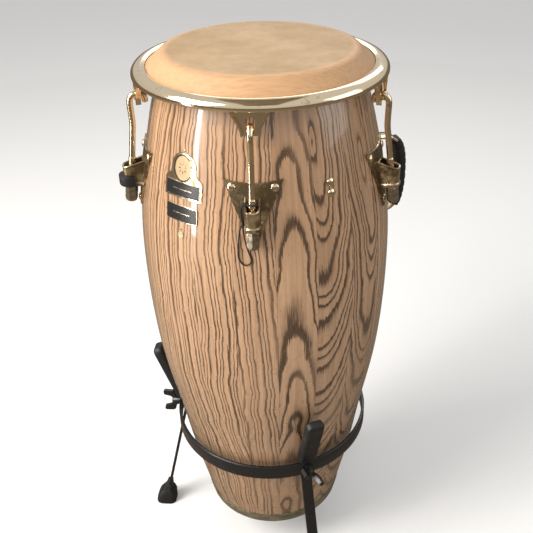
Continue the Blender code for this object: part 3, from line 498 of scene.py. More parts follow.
def round_bar(path, radii, sides):
    """A round bar along a path of (distance out, height) points in the front's plane."""
    rings = []
    for point, along, radius in zip(path, directions(path), radii):
        ring = []
        for side in range(sides):
            angle = 2 * math.pi * side / sides
            out = radius * math.cos(angle)
            ring.append((radius * math.sin(angle), -(point[0] - along.y * out), point[1] + along.x * out))
        rings.append(ring)
    return loft(rings)


def tube(points, radius, sides=10):
    """A round tube through points in space, with a section that doesn't twist."""
    rings = []
    side_way = Vector((0, 0, 1))
    for point, along in zip(points, directions(points)):
        side_way = (side_way - along * side_way.dot(along)).normalized()
        other = along.cross(side_way)
        ring = []
        for side in range(sides):
            angle = 2 * math.pi * side / sides
            ring.append(Vector(point) + radius * (side_way * math.cos(angle) + other * math.sin(angle)))
        rings.append(ring)
    return loft(rings)


def patch(azimuth, rows, low, high, columns=6, dip=0.0):
    """A plate that follows the shell: rows of (height, half width), between two offsets."""
    rings = []
    for level, (height, half_width) in enumerate(rows):
        share = level / (len(rows) - 1)
        faces = []
        for offset in (high, low):
            line = []
            for column in range(columns + 1):
                across = 2 * column / columns - 1
                lowered = height - dip * share ** 3 * (1 - across * across)
                radius = shell_radius(lowered)
                turn = math.degrees(across * half_width / radius)
                line.append(polar(radius + offset, azimuth + turn, lowered))
            faces.append(line)
        rings.append(faces[0] + faces[1][::-1])
    return loft(rings, strip=True)


def rounded_ring(half_x, half_out, corner, place):
    """Points round a rectangle with round corners; place maps (x, outward) to a point."""
    ring = []
    for quarter, (sign_x, sign_y) in enumerate(((1, 1), (-1, 1), (-1, -1), (1, -1))):
        for step in range(5):
            angle = math.pi / 2 * (quarter + step / 4)
            x = sign_x * (half_x - corner) + corner * math.cos(angle)
            out = sign_y * (half_out - corner) + corner * math.sin(angle)
            ring.append(place(x, out))
    return ring


def spread(plan, distance):
    """A line of two-number points moved sideways, square to the line at each point."""
    points = []
    for point, along in zip(plan, directions(plan)):
        points.append((point[0] + along.y * distance, point[1] - along.x * distance))
    return points


def inset(outline, distance):
    """A closed outline moved inwards by a distance. It runs anticlockwise."""
    points = []
    for index, point in enumerate(outline):
        before = Vector(outline[index - 1])
        after = Vector(outline[(index + 1) % len(outline)])
        along = (after - before).normalized()
        points.append((point[0] - along.y * distance, point[1] + along.x * distance))
    return points


def laid_on_shell(azimuth, middle, line, offset):
    """Points (across, up) from a middle height, bent round the shell at an offset from it."""
    ring = []
    for across, up in line:
        height = middle + up
        radius = shell_radius(height)
        ring.append(polar(radius + offset, azimuth + math.degrees(across / radius), height))
    return ring


def relief(azimuth, middle, outline, layers, inner_slot):
    """A plate on the shell, from its rim inwards: layers of (inset, offset, material slot)."""
    rings, slots = [], []

    def ring_at(line, offset):
        return laid_on_shell(azimuth, middle, line, offset)

    shrink = (0.02, 0.25, 0.5, 0.75)
    for share in shrink:
        rings.append(ring_at([(x * share, z * share) for x, z in outline], GAP))
        slots.append(layers[0][2])
    for distance, offset, slot in ((0.0, GAP, layers[0][2]), *layers):
        rings.append(ring_at(inset(outline, distance), offset))
        slots.append(slot)
    last_line = inset(outline, layers[-1][0])
    for share in shrink[::-1]:
        rings.append(ring_at([(x * share, z * share) for x, z in last_line], layers[-1][1]))
        slots.append(inner_slot)
    count = len(outline)
    vertices = [point for ring in rings for point in ring]
    faces, face_slots = [], []
    for level in range(len(rings) - 1):
        for index in range(count):
            after = (index + 1) % count
            low, high = level * count, (level + 1) * count
            faces.append((low + index, low + after, high + after, high + index))
            face_slots.append(slots[level + 1])
    for start in (0, (len(rings) - 1) * count):
        faces.append(range(start, start + count))
        face_slots.append(layers[0][2] if start == 0 else inner_slot)
    return mesh_from(vertices, faces, face_slots)


def rounded_outline(half_x, half_z, corner, steps=8):
    """An anticlockwise rectangle with round corners and points along its long sides."""
    points = []
    for quarter, (sign_x, sign_z) in enumerate(((1, 1), (-1, 1), (-1, -1), (1, -1))):
        centre = Vector((sign_x * (half_x - corner), sign_z * (half_z - corner)))
        for step in range(5):
            angle = math.pi / 2 * (quarter + step / 4)
            points.append(centre + corner * Vector((math.cos(angle), math.sin(angle))))
        end = points[-1]
        if quarter in (0, 2):
            for step in range(1, steps):
                points.append(Vector((end.x * (1 - 2 * step / steps), end.y)))
    return points


def oval_outline(half_x, half_z, sides=48):
    return [(half_x * x, half_z * z) for x, z in circle((0, 0), 1.0, sides)]


def combined(first, joined=(), cut=()):
    """One mesh: the first with others joined on by Boolean unions, and cutters taken away."""
    helpers = []
    for mesh in (first, *joined, *cut):
        helper = bpy.data.objects.new("helper", mesh)
        bpy.context.scene.collection.objects.link(helper)
        helpers.append(helper)
    body = helpers[0]
    for index, helper in enumerate(helpers[1:]):
        change = body.modifiers.new("shape", "BOOLEAN")
        change.operation = "UNION" if index < len(joined) else "DIFFERENCE"
        change.solver = "EXACT"
        change.object = helper
    bpy.context.view_layer.update()
    graph = bpy.context.evaluated_depsgraph_get()
    result = bpy.data.meshes.new_from_object(body.evaluated_get(graph))
    for helper in helpers:
        bpy.data.objects.remove(helper)
    return softened(result)


def gathered(meshes):
    """Several meshes as the separate bodies of one."""
    form = bmesh.new()
    for mesh in meshes:
        form.from_mesh(mesh)
    result = bpy.data.meshes.new("group")
    form.to_mesh(result)
    form.free()
    return softened(result)


def moved(mesh, matrix):
    mesh.transform(matrix)
    return mesh


def bevelled(piece, width, segments=2, degrees=40):
    """Rounds the piece's sharp edges."""
    change = piece.modifiers.new("edges", "BEVEL")
    change.width = width
    change.segments = segments
    change.limit_method = "ANGLE"
    change.angle_limit = math.radians(degrees)
    change.harden_normals = True
    return piece


def put(name, mesh, materials, body, nodes, place=DRUM_PLACE, turn=0.0):
    """Puts a mesh in the scene as a piece on its body, in place of its CAD nodes."""
    mesh.name = name
    if not mesh.materials:
        for material in materials:
            mesh.materials.append(material)
    piece = bpy.data.objects.new(name, mesh)
    bpy.context.scene.collection.objects.link(piece)
    piece.matrix_world = place @ Matrix.Rotation(math.radians(turn), 4, "Z")
    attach(piece, body)
    if nodes:
        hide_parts(*nodes)
    return piece


# ---------------------------------------------------------------- finishes

class Finish:
    """A material built from nodes. A socket, a number or a tuple can feed any input."""

    def __init__(self, name):
        self.material = bpy.data.materials.new(name)
        self.material.use_nodes = True
        self.tree = self.material.node_tree
        self.shader = self.tree.nodes["Principled BSDF"]

    def node(self, kind, inputs, **settings):
        made = self.tree.nodes.new(kind)
        for key, value in settings.items():
            setattr(made, key, value)
        for key, value in inputs.items():
            self.feed(made.inputs[key], value)
        return made

    def feed(self, socket, value):
        if isinstance(value, bpy.types.NodeSocket):
            self.tree.links.new(value, socket)
        else:
            socket.default_value = value

    def math(self, operation, first, second=0.0, third=0.0):
        inputs = {0: first, 1: second, 2: third}
        return self.node("ShaderNodeMath", inputs, operation=operation).outputs[0]

    def place(self):
        """The piece's own coordinates."""
        return self.node("ShaderNodeTexCoord", {}).outputs["Object"]

    def split(self, vector):
        return self.node("ShaderNodeSeparateXYZ", {0: vector}).outputs

    def join(self, x, y, z):
        return self.node("ShaderNodeCombineXYZ", {0: x, 1: y, 2: z}).outputs[0]

    def stretched(self, vector, scale):
        return self.node("ShaderNodeMapping", {"Vector": vector, "Scale": scale}).outputs[0]

    def noise(self, vector, scale, detail=3.0, roughness=0.55):
        inputs = {"Vector": vector, "Scale": scale, "Detail": detail, "Roughness": roughness}
        return self.node("ShaderNodeTexNoise", inputs).outputs["Fac"]

    def speckle(self, vector, scale):
        """Distance from the nearest of many scattered points."""
        inputs = {"Vector": vector, "Scale": scale}
        return self.node("ShaderNodeTexVoronoi", inputs).outputs["Distance"]

    def between(self, value, low, high, start=0.0, end=1.0):
        """The value's place from low to high as start to end, held at both ends."""
        inputs = {0: value, 1: low, 2: high, 3: start, 4: end}
        return self.node("ShaderNodeMapRange", inputs, interpolation_type="SMOOTHSTEP").outputs[0]

    def ramp(self, value, stops, interpolation="LINEAR"):
        made = self.node("ShaderNodeValToRGB", {0: value})
        band = made.color_ramp
        band.interpolation = interpolation
        band.elements.remove(band.elements[1])
        band.elements[0].position = stops[0][0]
        band.elements[0].color = (*stops[0][1], 1.0)
        for position, colour in stops[1:]:
            band.elements.new(position).color = (*colour, 1.0)
        return made.outputs[0]

    def mixed(self, share, first, second, blend="MIX"):
        made = self.node("ShaderNodeMix", {}, data_type="RGBA", blend_type=blend)
        self.feed(made.inputs[0], share)
        self.feed(made.inputs[6], as_colour(first))
        self.feed(made.inputs[7], as_colour(second))
        return made.outputs[2]

    def swing(self, value, size, centre=0.5):
        """How far a value lies from its centre, times a size."""
        return self.math("MULTIPLY", self.math("SUBTRACT", value, centre), size)

    def bump(self, height, distance, strength=1.0):
        inputs = {"Height": height, "Distance": distance, "Strength": strength}
        return self.node("ShaderNodeBump", inputs).outputs[0]

    def surface(self, **values):
        """Feeds the shader. base_color=... is its Base Color, and so on."""
        for key, value in values.items():
            name = key.replace("_", " ").title().replace("Ior", "IOR")
            self.feed(self.shader.inputs[name], as_colour(value) if key == "base_color" else value)
        return self.material


def as_colour(value):
    if isinstance(value, bpy.types.NodeSocket):
        return value
    return (*tuple(value)[:3], 1.0)


def shade(colour, factor):
    return tuple(min(channel * factor, 1.0) for channel in tuple(colour)[:3])


def board_stops():
    """The staves' boards as the stops of a ramp, each value moved into 0 to 1."""
    rng = random.Random(BOARD_SEED)
    stops = []
    for number in range(STAVE_COUNT):
        drawn = (rng.uniform(-0.08, 0.08), rng.uniform(0.02, 0.05), rng.uniform(-0.15, 0.15))
        board = FRONT_BOARDS.get(number - STAVE_COUNT // 2, drawn)
        stops.append((number / STAVE_COUNT, tuple(value / BOARD_SPAN + 0.5 for value in board)))
    return stops


def lacquered_ash(looks):
    """Ash staves with dark open grain under a clear gloss lacquer, and painted shade towards the bottom."""
    finish = Finish("lacquered_ash")
    place = finish.place()
    x, y, height = finish.split(place)
    angle = finish.math("ARCTAN2", x, finish.math("MULTIPLY", y, -1.0))
    girth = finish.node("ShaderNodeVectorMath", {0: finish.join(x, y, 0.0)}, operation="LENGTH")
    step = 2 * math.pi / looks.stave_count
    turn = finish.math("DIVIDE", finish.math("SUBTRACT", angle, looks.first_seam), step)
    stave = finish.math("FLOOR", turn)
    share = finish.math("SUBTRACT", finish.math("SUBTRACT", turn, stave), 0.5)
    across = finish.math("MULTIPLY", finish.math("MULTIPLY", share, step), girth.outputs["Value"])
    number = finish.math("FLOORED_MODULO", finish.math("ADD", stave, looks.stave_count / 2),
                         looks.stave_count)
    centre_place = finish.math("DIVIDE", finish.math("ADD", number, 0.5), looks.stave_count)
    board = finish.split(finish.ramp(centre_place, board_stops(), "CONSTANT"))
    pith, depth, taper = (finish.swing(value, BOARD_SPAN) for value in board)
    own = finish.math("MULTIPLY", number, 3.7)

    def board_noise(across_scale, height_scale, detail):
        """Noise that belongs to the stave, drawn out along it."""
        spot = finish.join(finish.math("MULTIPLY", across, across_scale), own,
                           finish.math("MULTIPLY", height, height_scale))
        return finish.noise(spot, 1.0, detail)

    slow = finish.noise(finish.join(own, 0.0, height), 5.0, 2.0)
    drift = finish.swing(slow, 0.030)
    ripple = finish.swing(board_noise(14.0, 26.0, 3.0), 0.0085)
    sideways = finish.math("ADD", finish.math("SUBTRACT", across, pith), finish.math("ADD", drift, ripple))
    rise = finish.swing(height, taper, 0.42)
    swell = finish.noise(finish.join(height, own, 0.0), 7.0, 2.0)
    deep = finish.math("ADD", finish.math("ADD", depth, rise), finish.swing(swell, 0.016))
    reach = finish.math("SQRT", finish.math("ADD", finish.math("POWER", sideways, 2.0),
                                            finish.math("POWER", deep, 2.0)))
    rings = finish.math("DIVIDE", reach, looks.ring_spacing)
    uneven = finish.math("MULTIPLY", finish.math("SINE", finish.math("MULTIPLY", rings, 1.9)), 0.30)
    ragged = finish.swing(board_noise(900.0, 28.0, 2.0), 0.46)
    ring = finish.math("FRACT", finish.math("ADD", finish.math("ADD", rings, uneven), ragged))
    grain = finish.ramp(ring, (
        (0.00, (1.0,) * 3), (0.20, (1.0,) * 3), (0.26, (0.48,) * 3), (0.40, (0.10,) * 3),
        (0.50, (0.0,) * 3), (0.94, (0.0,) * 3), (0.975, (0.55,) * 3), (1.00, (1.0,) * 3),
    ))
    strength = finish.between(board_noise(9.0, 5.0, 2.0), 0.32, 0.52, 0.55, 1.0)
    dark = finish.math("MULTIPLY", grain, strength)
    pores = board_noise(2600.0, 90.0, 2.0)
    streaks = board_noise(240.0, 7.0, 4.0)
    own_tint = finish.node("ShaderNodeTexWhiteNoise", {"W": number}, noise_dimensions="1D")
    tint = finish.between(own_tint.outputs["Value"], 0.0, 1.0, 0.88, 1.06)
    light = finish.mixed(finish.between(streaks, 0.30, 0.70), looks.wood_light, looks.wood_middle)
    light = finish.mixed(finish.between(pores, 0.56, 0.75, 0.0, 0.38), light, looks.wood_dark)
    broken = finish.math("MULTIPLY", dark, finish.between(pores, 0.25, 0.55, 0.80, 1.0))
    colour = finish.mixed(broken, light, looks.wood_dark)
    colour = finish.mixed(1.0, colour, finish.join(tint, tint, tint), "MULTIPLY")
    edge = finish.math("ABSOLUTE", share)
    seam = finish.between(edge, 0.4925, 0.4985, 0.0, 0.55)
    colour = finish.mixed(seam, colour, shade(looks.wood_dark, 0.5))
    # Painted shade: the wood is darkened towards the bottom, where less light reaches it.
    low_shade = finish.between(height, 0.05, 0.60, 0.70, 1.0)
    colour = finish.mixed(1.0, colour, finish.join(low_shade, low_shade, low_shade), "MULTIPLY")
    cloud = finish.noise(place, 3.0, 3.0)
    worn = finish.noise(place, 60.0, 4.0)
    finish.surface(
        base_color=finish.mixed(finish.between(cloud, 0.35, 0.70, 0.0, 0.22), colour,
                                shade(looks.wood_middle, 0.75)),
        roughness=finish.between(worn, 0.3, 0.7, 0.26, 0.38),
        normal=finish.bump(finish.math("ADD", dark, pores), -0.00012, 0.35),
    )
    finish.shader.inputs["Coat Weight"].default_value = 1.0
    finish.shader.inputs["Coat Roughness"].default_value = 0.07
    finish.shader.inputs["Coat IOR"].default_value = 1.5
    return finish.material


def plated_gold(name, looks, wear, darkness, roughness=0.12):
    """Pale gold plate. wear brings duller, darker patches and darkness deepens them."""
    finish = Finish(name)
    place = finish.place()
    patches = finish.noise(place, 55.0, 5.0, 0.65)
    fine = finish.noise(place, 420.0, 3.0)
    tarnish = finish.between(patches, 0.62 - wear * 0.3, 0.80 - wear * 0.25)
    colour = finish.mixed(tarnish, looks.gold, shade(looks.gold_aged, 1.0 - darkness))
    pits = finish.between(finish.speckle(place, 380.0), 0.02, 0.16, 1.0, 0.0)
    pits = finish.math("MULTIPLY", pits, finish.between(finish.noise(place, 24.0, 2.0), 0.50, 0.66))
    colour = finish.mixed(finish.math("MULTIPLY", pits, 0.65), colour, shade(looks.gold_aged, 0.35))
    rough = finish.math("ADD", finish.between(fine, 0.3, 0.7, roughness * 0.7, roughness * 1.4),
                        finish.math("MULTIPLY", tarnish, 0.22))
    finish.surface(
        base_color=colour,
        roughness=rough,
        normal=finish.bump(finish.math("SUBTRACT", fine, pits), 0.00010, 0.25),
    )
    finish.shader.inputs["Metallic"].default_value = 1.0
    return finish.material


def worn_steel(looks):
    """The nuts' grey-brown steel with the plating rubbed off."""
    finish = Finish("worn_steel")
    place = finish.place()
    patches = finish.noise(place, 130.0, 5.0, 0.7)
    colour = finish.ramp(patches, (
        (0.30, shade(looks.gold_aged, 0.55)), (0.50, looks.steel), (0.72, shade(looks.gold, 0.80)),
    ))
    finish.surface(
        base_color=colour,
        roughness=finish.between(patches, 0.3, 0.7, 0.48, 0.26),
        normal=finish.bump(finish.noise(place, 700.0, 3.0), 0.00008, 0.4),
    )
    finish.shader.inputs["Metallic"].default_value = 1.0
    return finish.material


def edge_band(looks):
    """The thin band at the shell's foot, dull and chipped."""
    finish = Finish("worn_edge_band")
    place = finish.place()
    patches = finish.noise(finish.stretched(place, (1.0, 1.0, 2.4)), 60.0, 6.0, 0.7)
    chips = finish.between(finish.noise(place, 170.0, 4.0, 0.7), 0.60, 0.66)
    colour = finish.ramp(patches, (
        (0.30, shade(looks.band, 0.45)), (0.48, looks.band), (0.68, shade(looks.band, 1.7)),
    ))
    finish.surface(
        base_color=finish.mixed(chips, colour, shade(looks.wood_middle, 0.9)),
        roughness=finish.between(patches, 0.3, 0.7, 0.42, 0.68),
        metallic=finish.between(chips, 0.0, 1.0, 0.45, 0.0),
        normal=finish.bump(finish.math("SUBTRACT", patches, chips), 0.0004, 0.5),
    )
    return finish.material


def rawhide(looks):
    """Hide: a clouded, hand-worn playing face and a warmer collar with faint fibres."""
    finish = Finish("rawhide")
    place = finish.place()
    x, y, height = finish.split(place)
    radius = finish.node("ShaderNodeVectorMath", {0: finish.join(x, y, 0.0)}, operation="LENGTH")
    on_face = finish.between(radius.outputs["Value"], FACE_RADIUS - 0.006, FACE_RADIUS + 0.001, 1.0, 0.0)
    clouds = finish.noise(place, 19.0, 6.0, 0.66)
    mottle = finish.noise(place, 70.0, 4.0, 0.6)
    fibres = finish.noise(finish.stretched(place, (1.0, 7.0, 7.0)), 46.0, 4.0, 0.6)
    face = finish.mixed(finish.between(clouds, 0.32, 0.68), looks.hide_face, looks.hide_cloud)
    face = finish.mixed(finish.between(mottle, 0.45, 0.75, 0.0, 0.35), face, shade(looks.hide_cloud, 0.85))
    collar = finish.mixed(finish.between(fibres, 0.40, 0.70, 0.0, 0.8), looks.hide, shade(looks.hide, 0.80))
    # The collar is darkened towards its lower edge, where it runs in under the rim.
    under_rim_darkening = finish.between(height, 0.736, 0.748, 0.35, 0.0)
    collar = finish.mixed(under_rim_darkening, collar, shade(looks.hide, 0.45))
    finish.surface(
        base_color=finish.mixed(on_face, collar, face),
        roughness=finish.between(clouds, 0.3, 0.7, 0.42, 0.60),
        normal=finish.bump(finish.math("ADD", mottle, fibres), 0.0002, 0.22),
    )
    finish.shader.inputs["Subsurface Weight"].default_value = 0.06
    finish.shader.inputs["Subsurface Scale"].default_value = 0.004
    finish.shader.inputs["Subsurface Radius"].default_value = (1.0, 0.5, 0.25)
    finish.shader.inputs["Coat Weight"].default_value = 0.12
    finish.shader.inputs["Coat Roughness"].default_value = 0.35
    return finish.material


def moulded_rubber(looks):
    """Black rubber: fine moulding texture and dusty scuffs."""
    finish = Finish("moulded_rubber")
    place = finish.place()
    scuffs = finish.noise(place, 48.0, 5.0, 0.65)
    grain = finish.noise(place, 1400.0, 2.0)
    dust = finish.between(scuffs, 0.55, 0.78, 0.0, 0.30)
    finish.surface(
        base_color=finish.mixed(dust, looks.rubber, looks.rubber_dust),
        roughness=finish.between(scuffs, 0.3, 0.7, 0.42, 0.62),
        normal=finish.bump(finish.math("ADD", grain, scuffs), 0.00012, 0.35),
    )
    return finish.material


def satin_paint(looks):
    """Black satin paint with a slight orange peel and rubbed spots."""
    finish = Finish("satin_black_paint")
    place = finish.place()
    peel = finish.noise(place, 520.0, 2.0)
    rubbed = finish.noise(place, 36.0, 6.0, 0.7)
    finish.surface(
        base_color=finish.mixed(finish.between(rubbed, 0.60, 0.76, 0.0, 0.45), looks.paint,
                                looks.paint_rubbed),
        roughness=finish.between(rubbed, 0.3, 0.7, 0.24, 0.42),
        normal=finish.bump(peel, 0.00010, 0.30),
    )
    finish.shader.inputs["Coat Weight"].default_value = 0.35
    finish.shader.inputs["Coat Roughness"].default_value = 0.22
    return finish.material


def braided_cord(looks):
    """A tight black braid, with painted shade in its grooves and painted highlight on its ridges."""
    finish = Finish("braided_cord")
    place = finish.place()
    waves = finish.node("ShaderNodeTexWave", {"Vector": place, "Scale": 320.0, "Distortion": 1.5},
                        bands_direction="DIAGONAL").outputs["Fac"]
    # Painted shade and highlight: the colour is lighter on the braid's ridges and darker in its grooves, in
    # step with the bump.
    finish.surface(
        base_color=finish.mixed(waves, looks.cord, shade(looks.cord, 2.6)),
        roughness=finish.between(waves, 0.0, 1.0, 0.62, 0.85),
        normal=finish.bump(waves, 0.0002, 0.6),
    )
    return finish.material


def badge_field(looks):
    """The near-black speckled field of a badge."""
    finish = Finish("badge_field")
    place = finish.place()
    flecks = finish.between(finish.speckle(place, 1300.0), 0.10, 0.34, 1.0, 0.0)
    thin = finish.between(finish.noise(place, 420.0, 4.0, 0.7), 0.52, 0.66)
    share = finish.math("MULTIPLY", flecks, finish.math("MULTIPLY", thin, 0.75))
    finish.surface(
        base_color=finish.mixed(share, looks.badge_field, looks.badge_flecks),
        roughness=finish.between(thin, 0.0, 1.0, 0.28, 0.42),
    )
    return finish.material


def medallion_face(looks):
    """The satin tan face inside the badge's oval."""
    finish = Finish("medallion_face")
    place = finish.place()
    brushed = finish.noise(finish.stretched(place, (1.0, 1.0, 9.0)), 260.0, 3.0)
    finish.surface(
        base_color=finish.mixed(finish.between(brushed, 0.35, 0.65), looks.medallion,
                                shade(looks.medallion, 0.80)),
        roughness=finish.between(brushed, 0.3, 0.7, 0.36, 0.50),
    )
    finish.shader.inputs["Metallic"].default_value = 0.35
    return finish.material


def green_enamel(looks):
    finish = Finish("green_enamel")
    place = finish.place()
    uneven = finish.noise(place, 380.0, 3.0)
    finish.surface(
        base_color=finish.mixed(finish.between(uneven, 0.35, 0.70), looks.disc, shade(looks.disc, 0.72)),
        roughness=finish.between(uneven, 0.3, 0.7, 0.30, 0.45),
    )
    return finish.material


def floor_finish(stage):
    """A pale, seamless floor with barely visible mottling."""
    finish = Finish("pale_floor")
    place = finish.place()
    soft = finish.noise(place, 1.3, 3.0)
    finish.surface(
        base_color=finish.mixed(finish.between(soft, 0.3, 0.7), stage.floor, shade(stage.floor, 0.985)),
        roughness=finish.between(soft, 0.3, 0.7, 0.70, 0.80),
    )
    return finish.material


def card_finish(name, colour):
    finish = Finish(name)
    weave = finish.noise(finish.place(), 3.0, 2.0)
    finish.surface(
        base_color=finish.mixed(weave, colour, shade(colour, 0.8)),
        roughness=finish.between(weave, 0.3, 0.7, 0.85, 0.95),
    )
    return finish.material


def finish_named(name, maker, *details):
    """A finish made once and then shared."""
    return bpy.data.materials.get(name) or maker(*details)


# ---------------------------------------------------------------- settings

def colour_setting(name, description, default):
    return bpy.props.FloatVectorProperty(
        name=name, description=description, default=default, subtype="COLOR", size=3, min=0, max=1
    )


class CongaLooks(bpy.types.PropertyGroup):
    """Colours and patterns of the drum and its stand."""

    stave_count: bpy.props.IntProperty(
        name="Staves", description="How many staves the shell is glued from", default=STAVE_COUNT,
        min=8, max=32,
    )
    first_seam: bpy.props.FloatProperty(
        name="First seam", description="Azimuth of the seam nearest the front",
        default=math.radians(FIRST_SEAM), subtype="ANGLE",
    )
    ring_spacing: bpy.props.FloatProperty(
        name="Ring spacing", description="Distance between two growth rings in the log",
        default=0.0060, subtype="DISTANCE", unit="LENGTH", min=0.001,
    )
    wood_light: colour_setting("Light wood", "Ash between the rings", (0.520, 0.315, 0.180))
    wood_middle: colour_setting("Middle wood", "Ash along darker streaks", (0.410, 0.240, 0.132))
    wood_dark: colour_setting("Grain", "The open dark grain", (0.068, 0.035, 0.017))
    hide: colour_setting("Hide", "The hide's collar", (0.560, 0.330, 0.165))
    hide_face: colour_setting("Playing face", "The hide's flat face", (0.440, 0.275, 0.125))
    hide_cloud: colour_setting("Clouding", "Greyer clouds on the playing face", (0.365, 0.235, 0.112))
    gold: colour_setting("Gold", "Polished plating", (0.920, 0.760, 0.530))
    gold_aged: colour_setting("Aged gold", "Dull plating on the side plates", (0.340, 0.250, 0.140))
    steel: colour_setting("Steel", "The nuts' bare steel", (0.360, 0.310, 0.240))
    band: colour_setting("Edge band", "The band at the shell's foot", (0.150, 0.130, 0.080))
    rubber: colour_setting("Rubber", "Pads, boots, grip and bumper", (0.010, 0.010, 0.011))
    rubber_dust: colour_setting("Rubber dust", "Scuffed places on the rubber", (0.060, 0.058, 0.055))
    paint: colour_setting("Stand paint", "The stand's bars and ring", (0.006, 0.006, 0.007))
    paint_rubbed: colour_setting("Rubbed paint", "Worn places on the stand", (0.045, 0.043, 0.040))
    cord: colour_setting("Cord", "The hanging cord", (0.010, 0.010, 0.010))
    badge_field: colour_setting("Badge field", "The badges' dark fields", (0.012, 0.012, 0.013))
    badge_flecks: colour_setting("Badge flecks", "Light flecks on the dark fields", (0.300, 0.290, 0.260))
    medallion: colour_setting("Medallion", "The face inside the badge's oval", (0.520, 0.370, 0.210))
    disc: colour_setting("Disc", "The small disc under the badges", (0.480, 0.430, 0.240))


class CongaStage(bpy.types.PropertyGroup):
    """The floor, the dark cards and the studio's lights."""

    floor: colour_setting("Floor", "The pale floor", (0.880, 0.875, 0.865))
    card: colour_setting("Dark card", "The card that the metal mirrors", (0.170, 0.138, 0.102))
    key_power: bpy.props.FloatProperty(
        name="Key light", description="Power of the large light at the upper left", default=62.0,
        min=0.0, unit="POWER",
    )
    strip_power: bpy.props.FloatProperty(
        name="Strip light", description="Power of the tall narrow light", default=15.0, min=0.0,
        unit="POWER",
    )
    fill_power: bpy.props.FloatProperty(
        name="Fill light", description="Power of the light at the right", default=7.0, min=0.0,
        unit="POWER",
    )
    sky: bpy.props.FloatProperty(
        name="Room light", description="Strength of the room's even light", default=0.62, min=0.0
    )


def drum_looks():
    return bpy.context.scene.conga_looks


def stage_settings():
    return bpy.context.scene.conga_stage


def polished():
    return finish_named("polished_gold", plated_gold, "polished_gold", drum_looks(), 0.15, 0.0, 0.10)


def aged():
    return finish_named("aged_gold", plated_gold, "aged_gold", drum_looks(), 1.0, 0.30, 0.16)


def rubber():
    return finish_named("moulded_rubber", moulded_rubber, drum_looks())


def paint():
    return finish_named("satin_black_paint", satin_paint, drum_looks())


def cord_material():
    return finish_named("braided_cord", braided_cord, drum_looks())


# ---------------------------------------------------------------- stage

